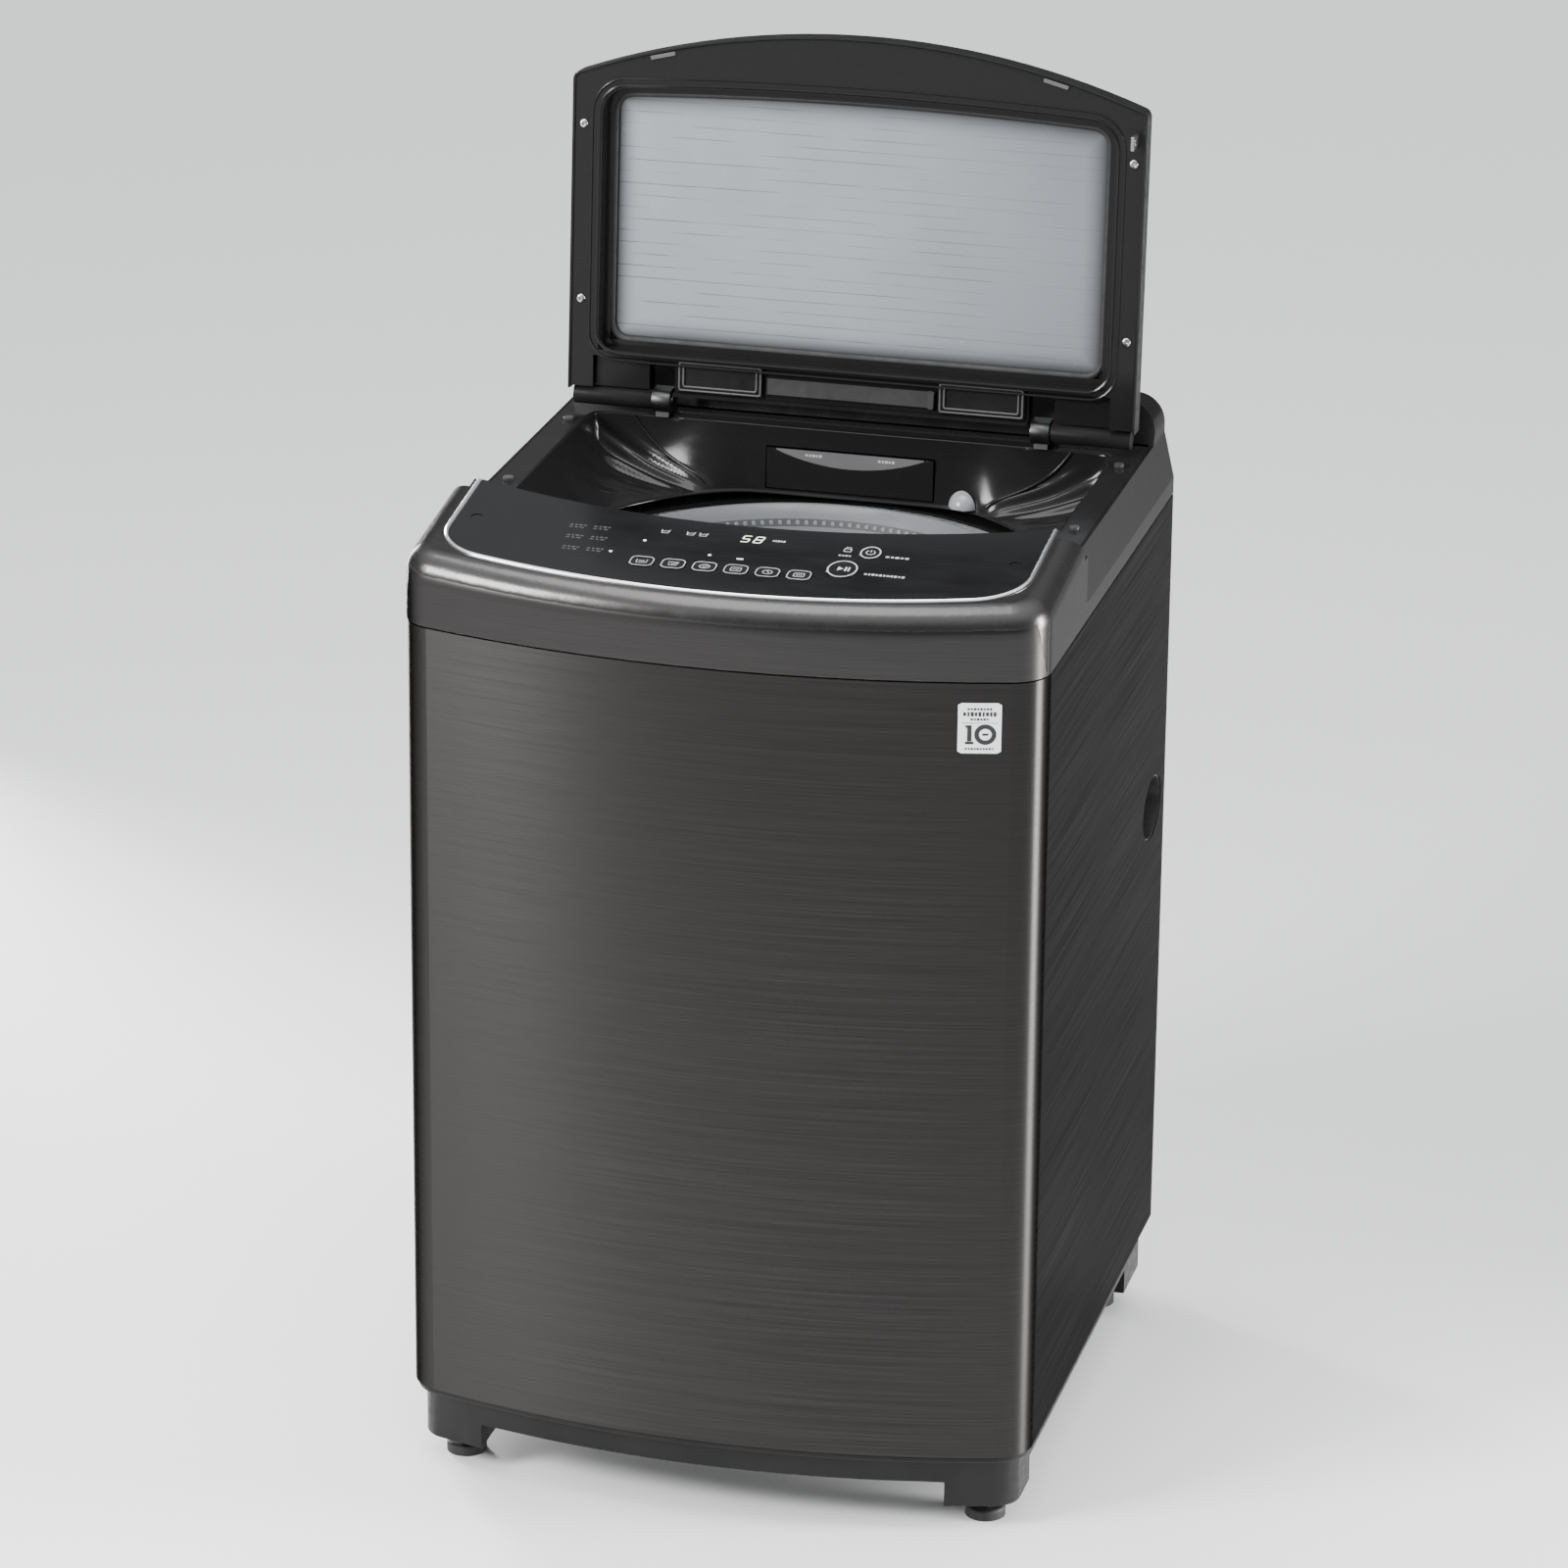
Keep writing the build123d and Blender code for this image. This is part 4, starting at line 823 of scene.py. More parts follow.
def dress_panel():
    """Digits, lamps, small symbols and label bars on the control panel."""
    figures = (digit("afgcd", (0.0, 0.0)), digit("abcdefg", (0.0, 0.0)))
    print_on_panel("display_digits", "digits", zip(figures, DIGITS_AT), lift=DISPLAY_LIFT)
    unit = text_bar(-6.5, 6.5, 0.0, 3.4, 5)
    print_on_panel("display_unit", "print", [(unit, UNIT_AT)], lift=DISPLAY_LIFT)
    lamps = [(slab(oval(1.7, 1.7, count=16), -0.1, 0.3), at) for at in LAMPS_AT]
    lamps.append((slab(rounded_box(3.4, 1.2, 0.8), -0.1, 0.2), BAR_LAMP_AT))
    print_on_panel("indicator_lamps", "lamp", lamps)
    print_on_panel("panel_symbols", "print", panel_symbols())
    words = ((text_bar(-20.0, 20.0, 0, 3.6, 11), START_WORD_AT),
             (text_bar(-12.0, 12.0, 0, 3.2, 5), POWER_WORD_AT))
    print_on_panel("panel_labels", "print", words)
    print_on_panel("panel_programme_list", "faint", programme_list())


# -------- label on the cabinet
LABEL_AT = (261.0, 842.0)
LABEL_SIZE = (41.0, 50.0)
LABEL_CORNER_R = 2.0


def on_front(mesh, at, lift):
    """Wraps a flat (x right, y up) shape round the bowed cabinet front."""
    big = arc_radius(WIDTH / 2, FRONT_BOW)
    centre_y = FRONT_Y + big
    points, faces = mesh
    laid = []
    for x, y, z in points:
        a = (at[0] + x) / big
        r = big + lift + z
        laid.append((r * math.sin(a), centre_y - r * math.cos(a), at[1] + y))
    return laid, faces


def filled_grid(half_x, half_y, columns, high):
    """A thin rounded plate with enough columns to bend."""
    xs = steps(-half_x, half_x, columns)
    points = []
    for level in (0.0, high):
        for x in xs:
            past = max(0.0, abs(x) - (half_x - LABEL_CORNER_R)) / LABEL_CORNER_R
            y = half_y - LABEL_CORNER_R * (1 - math.sqrt(max(0.0, 1 - past * past)))
            points += [(x, -y, level), (x, y, level)]
    n = columns * 2
    back = [(2 * i + 1, 2 * i, 2 * i + 2, 2 * i + 3) for i in range(columns - 1)]
    faces = back + [tuple(n + k for k in reversed(f)) for f in back]
    for k in (0, 1):
        rail = [2 * i + k for i in range(columns)]
        faces += [(rail[i], rail[i + 1], n + rail[i + 1], n + rail[i]) for i in range(columns - 1)]
    faces += [(0, 1, n + 1, n), (n - 2, n - 1, 2 * n - 1, 2 * n - 2)]
    return points, faces


def cabinet_label():
    """A pale sticker with bars and two bold round figures on it."""
    half_x, half_y = LABEL_SIZE[0] / 2, LABEL_SIZE[1] / 2
    mesh = on_front(filled_grid(half_x, half_y, 13, 0.2), LABEL_AT, 0.05)
    piece("cabinet_label", mesh, "paper", "cabinet")
    bars = [
        text_bar(-12.0, 12.0, 19.0, 2.2, 8),
        text_bar(-16.0, 16.0, 14.0, 4.2, 9),
        text_bar(-9.0, 9.0, 8.8, 2.2, 6),
        stroke([(-17.0, 5.2), (17.0, 5.2)], 0.5),
        text_bar(-14.0, 14.0, -20.5, 2.0, 10),
    ]
    upright = [stroke([(-13.0, 1.0), (-9.5, 2.6), (-9.5, -13.0)], 4.2),
               stroke([(-13.5, -14.6), (-5.5, -14.6)], 2.6)]
    round_mark = [ring_line(oval(8.2, 8.0, at=(5.5, -6.2), count=36), 4.4),
                  stroke([(2.6, -6.2), (8.4, -6.2)], 2.2)]
    mesh = on_front(joined(*bars, *upright, *round_mark), LABEL_AT, 0.3)
    piece("cabinet_label_print", mesh, "ink", "cabinet")


# -------- deck
def smooth_max(values, k=9.0):
    """The largest value, with the creases between them rounded over k millimetres."""
    biggest = max(values)
    return biggest + k * math.log(sum(math.exp((v - biggest) / k) for v in values))


def mouth_field(x, y):
    """Below zero inside the deck's mouth."""
    big = arc_radius(MOUTH_HALF, MOUTH_BOW)
    bow = math.hypot(x, y - (MOUTH_CROWN_Y + big)) - big if y < 0 else -1000.0
    return smooth_max((abs(x) - MOUTH_HALF, y - MOUTH_REAR_Y, bow), 7.0)


def opening_field(x, y):
    """Below zero inside the way into the basket."""
    round_edge = math.hypot(x, y) - OPENING_R
    return smooth_max((round_edge, y - OPENING_REAR_Y, OPENING_FRONT_Y - y), 5.0)


CHEEK_FRONT_Y, MIDDLE_FRONT_Y = -150.0, -172.0


def rail_field(x, y):
    """Below zero inside the deck's outline."""
    front = CHEEK_FRONT_Y if abs(x) > MOUTH_HALF - 10 else MIDDLE_FRONT_Y
    return max(abs(x) - RAIL_HALF, y - RAIL_REAR_Y, front - y)


DECK_CENTRE_Y = 30.0


def along_ray(angle, distance):
    """A plan point at a distance from the deck's middle."""
    return distance * math.cos(angle), DECK_CENTRE_Y + distance * math.sin(angle)


def reach(field, angle):
    """Where a ray from the deck's middle leaves a field."""
    low, high = 10.0, 460.0
    for _ in range(34):
        middle = (low + high) / 2
        low, high = (middle, high) if field(*along_ray(angle, middle)) < 0 else (low, middle)
    return along_ray(angle, low)


def ease(a, b, v):
    """From 0 at a to 1 at b, levelling off at both ends."""
    t = min(1.0, max(0.0, (v - a) / (b - a)))
    return t * t * (3 - 2 * t)


# For each rib: its bearing at the mouth, how far it leans on the way down, and its height.
DECK_RIBS = ((52.2, 14.0, 7.0), (56.4, 15.5, 6.0), (60.6, 17.0, 4.5),
             (66.0, 19.0, 3.5), (73.0, 20.0, 2.5))
RIB_HALF_TURN = 1.3
DECK_ANGLES, DECK_ROWS = 720, 40
RISER_GAP, RISER_T = 2.2, 1.8


def bowl_point(mouth, opening, t):
    """A point down the dish, from t 0 at the mouth to 1 at the opening."""
    hollow = ease(18.0, 70.0, math.dist(mouth, opening))
    across = t ** (1.0 + 0.9 * hollow)
    down = 1 - (1 - t) ** (1.0 + 1.1 * hollow)
    x = mouth[0] + (opening[0] - mouth[0]) * across
    y = mouth[1] + (opening[1] - mouth[1]) * across
    return Vector((x, y, RAIL_Z + (OPENING_Z - RAIL_Z) * down))


def deck_point(mouth, opening, t):
    """The dish with its moulded ribs in each rear corner."""
    point = bowl_point(mouth, opening, t)
    bearing = math.degrees(math.atan2(abs(mouth[0]), mouth[1] - DECK_CENTRE_Y))
    fade = math.sin(math.pi * t) ** 0.7 if 0 < t < 1 else 0.0
    for start, lean, height in DECK_RIBS:
        point.z += height * fade * math.exp(-((bearing - start + lean * t) / RIB_HALF_TURN) ** 2)
    return point


def deck_column(angle):
    """The deck's section along one ray: rail, rolled edge, dish and the collar at the opening."""
    mouth, opening, rail = (reach(f, angle) for f in (mouth_field, opening_field, rail_field))
    inward = Vector((opening[0] - mouth[0], opening[1] - mouth[1], 0)).normalized()

    def beside(place, z, shifts):
        return [Vector((*place, z + rise)) + inward * shift for shift, rise in shifts]

    column = beside(rail, RAIL_Z, ((0.0, -4.0), (0.0, 0.0)))
    column += beside(mouth, RAIL_Z, ((-3.2, 0.0), (-2.0, -0.15), (-0.8, -0.9)))
    dish = [deck_point(mouth, opening, t) for t in steps(0.0, 1.0, DECK_ROWS)]
    dish[0].z -= 2.4
    collar = ((1.0, -0.8), (1.3, -2.4), (-0.8, -2.6), (-3.0, -1.0))
    return column + dish + beside(opening, OPENING_Z, collar)


def deck():
    """The whole black deck, with the openings for the drawer and the lid lock."""
    columns = [deck_column(2 * math.pi * i / DECK_ANGLES) for i in range(DECK_ANGLES)]
    points = [point for row in zip(*columns) for point in row]
    faces = grid_faces(len(columns[0]), DECK_ANGLES, closed_columns=True)
    made = piece("deck_dish", (points, faces), "deck_gloss", "cabinet")
    made.data.set_sharp_from_angle(angle=math.radians(60))
    half = DRAWER_HALF + 1.5
    cut_block(made, (-half, half), (205.0, 250.0), (DRAWER_LOW - 1.5, DRAWER_HIGH + 1.5))
    cut_block(made, LOCK_SLOT_X, LOCK_SLOT_Y, (930.0, RAIL_Z + 5))
    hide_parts("deck_frame")


def deck_riser():
    """The black wall under the hood's edge, just outside the shut lid."""
    def behind(gap):
        return bowed_path(LID_HALF, LID_CROWN_Y, LID_BOW, LID_CORNER_R, -gap)

    pairs = zip(behind(RISER_GAP), behind(RISER_GAP + RISER_T))
    front, back = zip(*(pair for pair in pairs if pair[0][1] < TRIM_END_Y))
    foot = RAIL_Z - 1.0
    points = [(x, y, foot) for x, y in front] + [(x, y, hood_z(y) - 5.6) for x, y in front]
    points += [(x, y, hood_z(y) - 5.6) for x, y in back] + [(x, y, foot) for x, y in back]
    faces = grid_faces(4, len(front), closed_rows=True)
    piece("deck_riser", (points, faces), "deck_gloss", "cabinet")


CREASE_BEARING, CREASE_LEAN, CREASE_R = 48.7, 11.0, 1.7


def rear_rim():
    """The moulded ledge along the back of the mouth, and the creases that run down from its ends."""
    half = [(60.0, 234.5, 958.8), (196.0, 235.0, 958.4), (214.0, 236.0, 958.0)]
    ledge = [(-x, y, z) for x, y, z in reversed(half)] + half
    section = [(-2.4, -6.0), (-2.4, -0.8), (-1.6, 0.0), (1.6, 0.0), (2.4, -0.8), (2.4, -6.0)]
    piece("deck_rear_ledge", swept(ledge, section), "deck_gloss", "cabinet", bevel=0.5)
    for side, name in SIDES:
        path = []
        for t in steps(0.02, 0.9, 18):
            angle = math.pi / 2 - side * math.radians(CREASE_BEARING - CREASE_LEAN * t)
            point = deck_point(reach(mouth_field, angle), reach(opening_field, angle), t)
            path.append(point + Vector((0, -0.6, 0.6)))
        crease = swept(path, round_section(CREASE_R, 10))
        piece(f"deck_crease_{name}", crease, "deck_gloss", "cabinet")


GRIP_NEAR_Y, GRIP_FAR_Y = DRAWER_FACE_Y + 1.0, DRAWER_FACE_Y + 2.4
DRAWER_MARK_X, DRAWER_MARK_DROP = 38.0, 5.0


def drawer_details():
    """The pale crescent in the drawer's finger recess, with two small marks."""
    grip_r = arc_radius(GRIP_HALF, GRIP_DROP)
    turn = math.asin(GRIP_HALF / grip_r)
    middle_z = DRAWER_HIGH + grip_r - GRIP_DROP + 0.6
    turns = steps(-turn, turn, 33)
    recess = [(grip_r * math.sin(a), middle_z - grip_r * math.cos(a)) for a in turns]
    n = len(recess)
    points = []
    for level in (None, DRAWER_HIGH - 0.3):
        for y in (GRIP_NEAR_Y, GRIP_FAR_Y):
            points += [(x, y, z if level is None else level) for x, z in recess]
    faces = []
    for i in range(1, n - 2):
        faces += [(i, i + 1, 2 * n + i + 1, 2 * n + i), (n + i, 3 * n + i, 3 * n + i + 1, n + i + 1)]
        faces += [(i, n + i, n + i + 1, i + 1), (2 * n + i, 2 * n + i + 1, 3 * n + i + 1, 3 * n + i)]
    piece("drawer_grip", (points, faces), "grip", "drawer")
    marks = []
    for middle in (-DRAWER_MARK_X, DRAWER_MARK_X):
        flat, faces = text_bar(-9.0, 9.0, 0.0, 2.8, 5)
        mark_z = DRAWER_HIGH - DRAWER_MARK_DROP
        marks.append(([(middle + x, GRIP_NEAR_Y - z, mark_z + y) for x, y, z in flat], faces))
    piece("drawer_marks", joined(*marks), "print", "drawer")


# -------- lid details
def window_outline(grow):
    """The glass opening's outline, grown outwards, with its bowed front edge."""
    front = bowed_path(WINDOW_HALF, WINDOW_CROWN_Y, WINDOW_BOW, WINDOW_CORNER_R, -grow)
    half, rear, r = WINDOW_HALF + grow, WINDOW_REAR_Y + grow, WINDOW_CORNER_R + grow * 0.6
    corner = steps(0, math.pi / 2, 8)
    right = [(half - r + r * math.cos(a), rear - r + r * math.sin(a)) for a in corner]
    return front + right + [(-x, y) for x, y in reversed(right)]


def lid_bead(name, plan, z, r, closed=True):
    """A thin round bead along a plan line on the lid's inner side."""
    bead = swept([(x, y, z) for x, y in plan], round_section(r, 8), closed=closed)
    piece(name, bead, "deck_gloss", "lid", on_lid=True)


def lid_beads():
    """Rolled black seal round the glass, the channel's bead, the step outside it, and the lip."""
    seal = [(x, y, LID_Z + LID_T - 9.0) for x, y in window_outline(3.5)]
    section = [(side * 1.25, up) for side, up in round_section(3.0, 12)]
    mesh = swept(seal, section, closed=True)
    made = piece("lid_seal", mesh, "foot_rubber", "lid", on_lid=True)
    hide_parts("lid_gasket")
    lid_bead("lid_channel_bead", window_outline(15.0), LID_Z + 1.2, 1.8)
    lid_bead("lid_step_bead", window_outline(22.0), LID_Z + 0.9, 1.2)
    lip = bowed_path(LID_HALF, LID_CROWN_Y, LID_BOW, LID_CORNER_R, 1.5, 216.0, 10)
    lid_bead("lid_lip", lip, LID_Z + 0.6, 1.5, closed=False)


HEAD_RINGS, HEAD_SPOKES = 5, 24


def cross_head(at, r, height, axis):
    """A pan-head screw with a cross recess, standing on its place along an axis."""
    spokes = [2 * math.pi * j / HEAD_SPOKES for j in range(HEAD_SPOKES)]
    levels = [(r, 0.0)]
    for dome in steps(0, math.pi / 2, HEAD_RINGS)[:-1]:
        levels.append((r * math.cos(dome * 0.72), height * (0.25 + 0.75 * math.sin(dome))))
    levels.append((r * 0.42, height))
    points = [polar(radius, a, z) for radius, z in levels for a in spokes]
    faces = grid_faces(len(levels), HEAD_SPOKES, closed_columns=True)
    start, first = len(points) - HEAD_SPOKES, len(points)
    for a in spokes:
        deep = 0.7 if abs(math.cos(2 * a)) > 0.8 else 0.08
        points.append(polar(r * 0.30, a, height * (1 - deep)))
    points.append((0.0, 0.0, height * 0.25))
    for j in range(HEAD_SPOKES):
        after = (j + 1) % HEAD_SPOKES
        faces.append((start + j, start + after, first + after, first + j))
        faces.append((first + j, first + after, first + HEAD_SPOKES))
    faces.append(tuple(range(HEAD_SPOKES - 1, -1, -1)))
    turn = Vector((0, 0, 1)).rotation_difference(Vector(axis)).to_matrix()
    return [Vector(at) + turn @ Vector(p) for p in points], faces


LID_SCREW_X, LID_SCREW_YS = 283.0, (-52.0, 128.0)
REAR_SCREW_X, REAR_SCREW_ZS = 305.0, (110.0, 300.0, 490.0, 680.0, 860.0)


def screws():
    """Detailed heads for the lid's and the rear panel's screws."""
    heads = [cross_head((side * LID_SCREW_X, y, LID_Z + 0.9), 4.5, 2.2, (0, 0, -1))
             for side, _name in SIDES for y in LID_SCREW_YS]
    made = piece("lid_screw_heads", joined(*heads), "screw_steel", "lid", on_lid=True)
    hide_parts("lid_screws")
    face_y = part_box("rear_screws")[0].y / MM
    heads = [cross_head((side * REAR_SCREW_X, face_y, z), 4.6, 2.6, (0, 1, 0))
             for side, _name in SIDES for z in REAR_SCREW_ZS]
    made = piece("rear_screw_heads", joined(*heads), "screw_steel", "cabinet")
    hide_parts("rear_screws")


# -------- basket
HOLE_COLUMNS, HOLE_ROWS, HOLE_R = 72, 22, 2.6
SMOOTH_FOOT, SMOOTH_TOP = 60.0, 44.0
HUB_HOLE_R = 42.0


def perforated_wall():
    """The basket's wall as a sheet with rows of round drain holes, offset row by row."""
    pitch_a = 2 * math.pi / HOLE_COLUMNS
    low, high = BASKET_LOW + SMOOTH_FOOT, BASKET_HIGH - SMOOTH_TOP
    pitch_z = (high - low) / HOLE_ROWS
    turns = [math.pi / 4 * k for k in range(8)]
    points, faces = [], []
    for r_side, flip in ((BASKET_R - BASKET_T, True), (BASKET_R, False)):
        for row, column in itertools.product(range(HOLE_ROWS), range(HOLE_COLUMNS)):
            ca, cz = (column + 0.5 * (row % 2)) * pitch_a, low + (row + 0.5) * pitch_z
            first = len(points)
            for a in turns:
                across, up = math.cos(a), math.sin(a)
                square = 2 * max(abs(across), abs(up))
                turn = ca + pitch_a * across / square
                points.append(polar(r_side, turn, cz + pitch_z * up / square))
            for a in turns:
                turn = ca + HOLE_R * math.cos(a) / r_side
                points.append(polar(r_side, turn, cz + HOLE_R * math.sin(a)))
            for k in range(8):
                after = (k + 1) % 8
                quad = (first + k, first + after, first + 8 + after, first + 8 + k)
                faces.append(quad[::-1] if flip else quad)
    count = len(points) // 2
    for first in range(8, count, 16):
        for k in range(8):
            a, b = first + k, first + (k + 1) % 8
            faces.append((a, b, count + b, count + a))
    return points, faces


def turned(profile, segments=144):
    """A closed (r, z) profile turned about the machine's axis."""
    points = []
    for j in range(segments):
        a = 2 * math.pi * j / segments
        points += [polar(r, a, z) for r, z in profile]
    return points, grid_faces(segments, len(profile), closed_rows=True, closed_columns=True)


SLOTS, SLOT_LOW, SLOT_HIGH, SLOT_BAND_T = 120, BASKET_HIGH - 16.0, BASKET_HIGH - 5.0, 3.0
BAND_LOW, BAND_HIGH = BASKET_HIGH - 20.0, BASKET_HIGH + 0.5


def basket():
    """Perforated wall between a smooth foot and a beaded top, with a dished floor."""
    inner, outer, floor = BASKET_R - BASKET_T, BASKET_R, BASKET_LOW
    low, high = floor + SMOOTH_FOOT, BASKET_HIGH - SMOOTH_TOP
    foot = turned([
        (HUB_HOLE_R, floor), (outer - 8, floor), (outer - 2, floor + 2.5), (outer, floor + 9),
        (outer, low), (inner, low),
        (inner, floor + 10), (inner - 3, floor + 4), (inner - 9, floor + 2), (HUB_HOLE_R, floor + 2),
    ])
    rise = ((0.0, high), (0.0, high + 6), (-1.2, high + 9), (0.0, high + 12), (0.0, BAND_LOW))
    outside = [(outer + dent, z) for dent, z in rise]
    top = turned(outside + [(inner + dent, z) for dent, z in reversed(rise)])
    sheet = joined(perforated_wall(), foot, top)
    made = piece("basket_sheet", sheet, "basket_steel", "basket_group")
    piece("basket_slots", slotted_band(), "ring_plastic", "basket_group")
    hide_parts("basket")


def slotted_band():
    """The row of overflow slots just under the balance ring."""
    inner, outer = BASKET_R - SLOT_BAND_T, BASKET_R
    pieces = [turned([(inner, low), (outer, low), (outer, high), (inner, high)])
              for low, high in ((BAND_LOW, SLOT_LOW), (SLOT_HIGH, BAND_HIGH))]
    for i in range(SLOTS):
        a0, a1 = 2 * math.pi * (i + 0.3) / SLOTS, 2 * math.pi * (i + 0.7) / SLOTS
        points = [polar(r, a, z) for z in (SLOT_LOW, SLOT_HIGH)
                  for r, a in ((inner, a0), (outer, a0), (outer, a1), (inner, a1))]
        pieces.append((points, [(0, 1, 5, 4), (1, 2, 6, 5), (2, 3, 7, 6), (3, 0, 4, 7)]))
    return joined(*pieces)


RING_BEADS, RING_BEAD_R, RING_BEAD_Z, RING_BEAD_REACH = 150, 2.2, 859.0, 1.3
GROOVE_HALF = 3.4
RING_SLOPE_LOW, RING_SLOPE_HIGH = (210.0, 852.0), (226.0, RING_TOP_Z)


def slope_r(z):
    """The radius of the balance ring's inner slope at a height."""
    (low_r, low_z), (high_r, high_z) = RING_SLOPE_LOW, RING_SLOPE_HIGH
    return low_r + (high_r - low_r) * (z - low_z) / (high_z - low_z)


def ring_details():
    """A black ring of painted shade outside the balance ring's lip, and the groove with a row of beads
    inside it.
    """
    near, far, low, high = RING_LIP_R + 0.3, RING_OUT_R, RING_SHELF_Z, RING_SHELF_Z + 6.0
    # This black ring on the shelf outside the lip is painted shade, not a real seal.
    seal = turned([(near, low), (far, low), (far, high - 2),
                   (far - 3, high), (RING_LIP_R + 3, high), (near, high - 3)])
    piece("ring_outer_painted_shade", seal, "foot_rubber", "basket_group")
    low, high = RING_BEAD_Z - GROOVE_HALF, RING_BEAD_Z + GROOVE_HALF
    section = ((-0.2, low), (-0.2, high), (0.6, high), (0.6, low))
    groove = turned([(slope_r(z) + depth, z) for depth, z in section])
    piece("ring_groove", groove, "plate_grey", "basket_group")
    beads = []
    for i in range(RING_BEADS):
        a = 2 * math.pi * i / RING_BEADS
        out = Vector((math.cos(a), math.sin(a), 0))
        depths = (1.0, -RING_BEAD_REACH * 0.6, -RING_BEAD_REACH)
        path = [out * (slope_r(RING_BEAD_Z) + depth) + Vector((0, 0, RING_BEAD_Z)) for depth in depths]
        beads.append(swept(path, round_section(RING_BEAD_R, 8)))
    piece("ring_beads", joined(*beads), "ring_light", "basket_group")


# -------- hinges and inlets
COVER_FRAME_AT, COVER_FRAME_SIZES = (136.0, 201.5), ((42.6, 14.2), (38.4, 10.4))
STEM_AT = (197.5, 228.0)
MIDDLE_PLATE_Y = 205.0
PAD_X, PAD_INSET = 203.0, 5.5


def hinge_details():
    """Raised frames on the hinge covers, the middle plate's end tab, and the stems beside the covers."""
    low = COVER_LOW_Z
    edge = [(-0.8, -0.9), (-0.4, -1.2), (0.4, -1.2), (0.8, -0.9), (0.8, 0.4), (-0.8, 0.4)]
    for side, name in SIDES:
        centre = (side * COVER_FRAME_AT[0], COVER_FRAME_AT[1])
        frames = []
        for half_x, half_y in COVER_FRAME_SIZES:
            outline = [(x, y, low + 0.2) for x, y in rounded_box(half_x, half_y, 2.0, at=centre)]
            frames.append(swept(outline, edge, closed=True))
        mesh = joined(*frames)
        piece(f"hinge_cover_frame_{name}", mesh, "edge_grey", "lid", on_lid=True)
        plan = rounded_box(7.0, 2.0, 1.2, at=(side * STEM_AT[0], STEM_AT[1]))
        stem = slab(plan, RAIL_Z, HINGE_Z + 10.0)
        piece(f"hinge_stem_{name}", stem, "edge_grey", "cabinet", bevel=0.5)
    plate = slab(rounded_box(86.5, 8.4, 1.5, at=(0.0, MIDDLE_PLATE_Y)), low + 1.2, low + 2.2)
    tab = slab(rounded_box(3.0, 9.5, 1.5, at=(84.0, MIDDLE_PLATE_Y)), low - 0.6, low + 2.2)
    mesh = joined(plate, tab)
    piece("hinge_middle_plate", mesh, "plate_grey", "lid", on_lid=True, bevel=0.4)


def lid_bumpers():
    """Two small pads near the corners of the lid's bowed front edge."""
    big = arc_radius(LID_HALF, LID_BOW)
    flat, faces = slab(rounded_box(13.0, 2.0, 0.9), LID_Z - 1.2, LID_Z + 1.6)
    for side, name in SIDES:
        laid = []
        for x, y, z in flat:
            a = side * math.asin(PAD_X / big) + x / big
            r = big - PAD_INSET - y
            laid.append((r * math.sin(a), LID_CROWN_Y + big - r * math.cos(a), z))
        mesh = laid, faces
        piece(f"lid_bumper_{name}", mesh, "edge_grey", "lid", on_lid=True, bevel=0.4)


ALONG_Y = (0, 1, 0)
THREADS, THREAD_START_Y, THREAD_PITCH = 9, 307.0, 2.4
COLLAR_R, COLLAR_Y = 15.4, 303.6
GROMMET_R, GROMMET_Y = 17.8, 319.5
SCREEN_R, SCREEN_Y, WIRE_PITCH = 8.6, 309.0, 2.4


def inlet_ring(x, r, y, section, count):
    """A section carried round an inlet."""
    turns = steps(0, 2 * math.pi, count + 1)[:-1]
    path = [(x + r * math.cos(a), y, INLET_Z + r * math.sin(a)) for a in turns]
    return swept(path, section, up=ALONG_Y, closed=True)


def inlet_screen(x):
    """Crossed wires over an inlet's mouth."""
    wires = []
    wire = round_section(0.3, 6)
    for k in range(-3, 4):
        off = k * WIRE_PITCH
        half = math.sqrt(SCREEN_R ** 2 - off ** 2)
        level = [(x + end, SCREEN_Y, INLET_Z + off) for end in (-half, half)]
        upright = [(x + off, SCREEN_Y + 0.4, INLET_Z + end) for end in (-half, half)]
        wires += [swept(level, wire), swept(upright, wire, up=ALONG_Y)]
    return joined(*wires)


def inlet_details():
    """Thread ridges, coloured washers, rubber grommets and filter screens on the two hose inlets."""
    washer = [(-1.8, -1.6), (-1.8, 1.6), (1.8, 1.6), (1.8, -1.6)]
    rubber = [(-4.6, -2.0), (-4.6, 2.0), (-3.4, 3.0), (4.4, 3.0), (5.4, 2.2), (5.4, -2.0)]
    for x, name, mark in zip(INLET_XS, ("hot", "cold"), ("red", "blue")):
        ridges = [inlet_ring(x, INLET_R, THREAD_START_Y + THREAD_PITCH * k, round_section(0.55, 6), 40)
                  for k in range(THREADS)]
        collar = inlet_ring(x, COLLAR_R, COLLAR_Y, washer, 40)
        grommet = inlet_ring(x, GROMMET_R, GROMMET_Y, rubber, 48)
        piece(f"inlet_thread_{name}", joined(*ridges), "water_plastic", "cabinet")
        piece(f"inlet_collar_{name}", collar, mark, "cabinet", bevel=0.4)
        piece(f"inlet_grommet_{name}", grommet, "foot_rubber", "cabinet")
        piece(f"inlet_screen_{name}", inlet_screen(x), "screw_steel", "cabinet")


# -------- stage
FLOOR_HALF = 30.0
SKY_HEIGHTS, SKY_STRENGTHS = (0.35, 1.0), (0.16, 2.45)
SKY_COLOR = (0.96, 0.98, 1.0, 1.0)


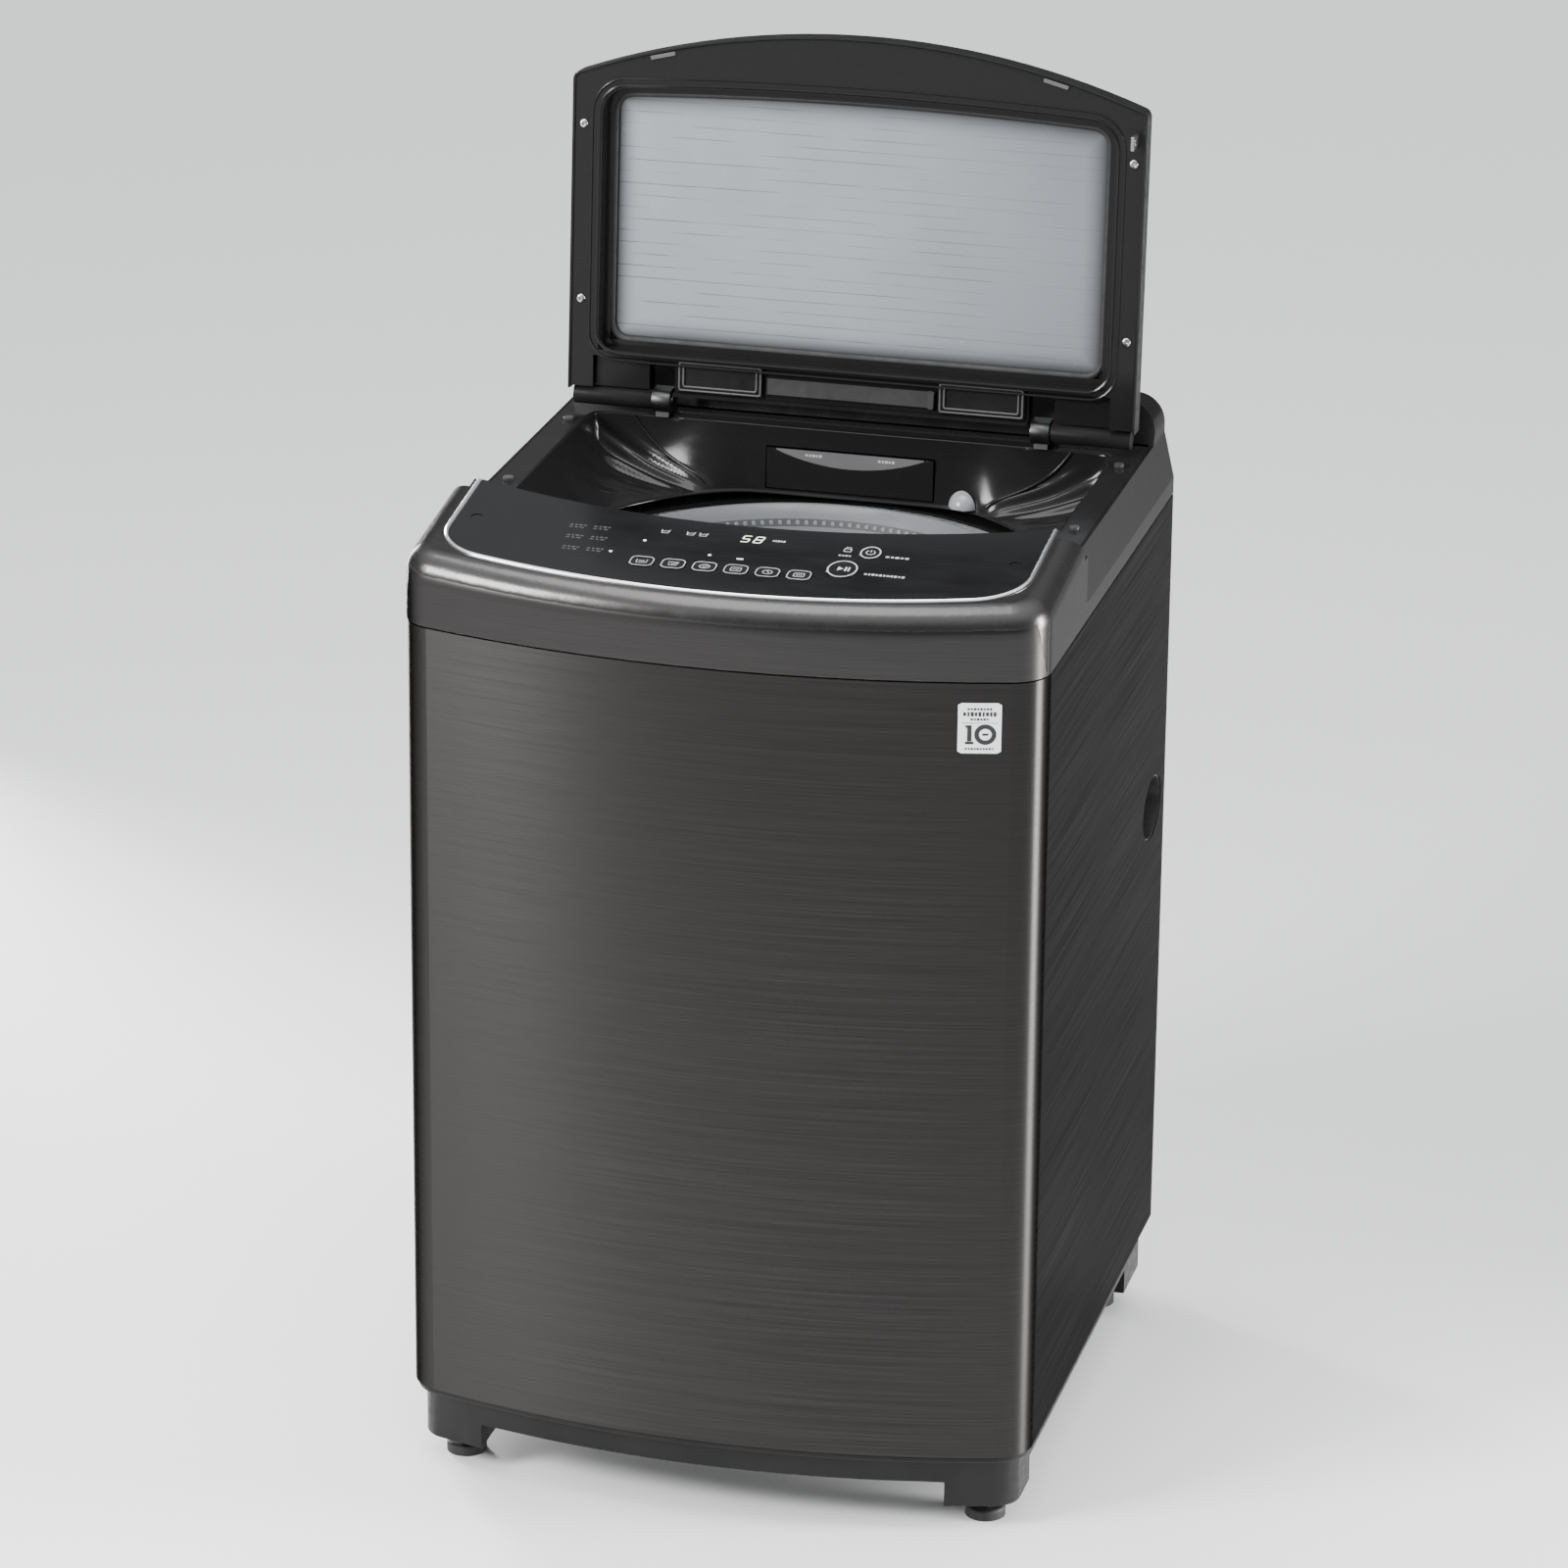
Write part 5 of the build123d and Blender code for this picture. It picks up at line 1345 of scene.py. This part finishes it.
def floor():
    """A plain pale floor."""
    look = Look("floor_pale", (0.88, 0.88, 0.88), 0.85)
    look.tint(look.noise(900.0), (0.86, 0.86, 0.86), 0.5)
    data = bpy.data.meshes.new("floor")
    corners = [(x * FLOOR_HALF, y * FLOOR_HALF, 0) for x, y in ((-1, -1), (1, -1), (1, 1), (-1, 1))]
    data.from_pydata(corners, [], [(0, 1, 2, 3)])
    data.materials.append(look.material)
    add_object("floor", data)


def surroundings():
    """A studio that grows brighter with height."""
    world = bpy.data.worlds.new("studio")
    world.use_nodes = True
    tree = world.node_tree
    place = tree.nodes.new("ShaderNodeTexCoord")
    split = tree.nodes.new("ShaderNodeSeparateXYZ")
    rise = tree.nodes.new("ShaderNodeMapRange")
    background = tree.nodes["Background"]
    tree.links.new(place.outputs["Generated"], split.inputs[0])
    tree.links.new(split.outputs["Z"], rise.inputs[0])
    for socket, value in zip(rise.inputs[1:], SKY_HEIGHTS + SKY_STRENGTHS):
        socket.default_value = value
    background.inputs["Color"].default_value = SKY_COLOR
    tree.links.new(rise.outputs[0], background.inputs["Strength"])
    bpy.context.scene.world = world


def softbox(name, at, towards, size, power, spread=180.0):
    """A rectangular light; size is its width and height in metres, spread its cone in degrees."""
    light = bpy.data.lights.new(name, "AREA")
    light.spread = math.radians(spread)
    light.shape = "RECTANGLE"
    light.size, light.size_y = size
    light.energy = power
    made = add_object(name, light)
    made.location = at
    made.rotation_euler = (Vector(towards) - Vector(at)).to_track_quat("-Z", "Y").to_euler()


def lights():
    """A key from the front left, a strip at each side for the corners, and one overhead."""
    softbox("front_left_wall", (-2.1, -2.2, 2.1), (-0.1, -0.3, 0.9), (1.2, 1.1), 84, 125.0)
    softbox("right_strip", (2.05, 0.05, 0.72), (0.31, -0.27, 0.5), (0.45, 1.6), 26, 70.0)
    softbox("left_rear_strip", (-1.75, 1.45, 0.75), (-0.31, -0.2, 0.5), (0.4, 1.6), 26, 70.0)
    softbox("overhead", (-0.5, -0.2, 3.4), (0, 0, 0.6), (2.2, 1.6), 60)


CAMERA_AT, CAMERA_AIM = (1.5145, -5.9042, 2.9068), (-0.00696, 0.0, 0.65383)
CAMERA_LENS, CAMERA_ROLL = 149.6, math.radians(0.55)


def camera():
    """The photographer's place: to the right of the front, and well above the lid."""
    lens = bpy.data.cameras.new("camera")
    lens.sensor_width = 36.0
    lens.lens = CAMERA_LENS
    made = add_object("camera", lens)
    made.location = CAMERA_AT
    level = (Vector(CAMERA_AIM) - made.location).to_track_quat("-Z", "Y")
    roll = Matrix.Rotation(CAMERA_ROLL, 4, "Z").to_quaternion()
    made.rotation_euler = (level @ roll).to_euler()
    bpy.context.scene.camera = made


dress_nodes()
chrome_trim()
trim_shadow_line()
# front_band_shadow is a black sheet a little larger than the band: painted shadow round it, most of all
# as a line under the hood's nose.
front_band("front_band_shadow", "gap", 0.25, 1.0)
front_band("front_band", "band", 0.7, 0.0)
side_slots()
dress_keys()
dress_panel()
cabinet_label()
deck()
deck_riser()
rear_rim()
drawer_details()
lid_beads()
screws()
basket()
ring_details()
hinge_details()
lid_bumpers()
inlet_details()
floor()
surroundings()
lights()
camera()
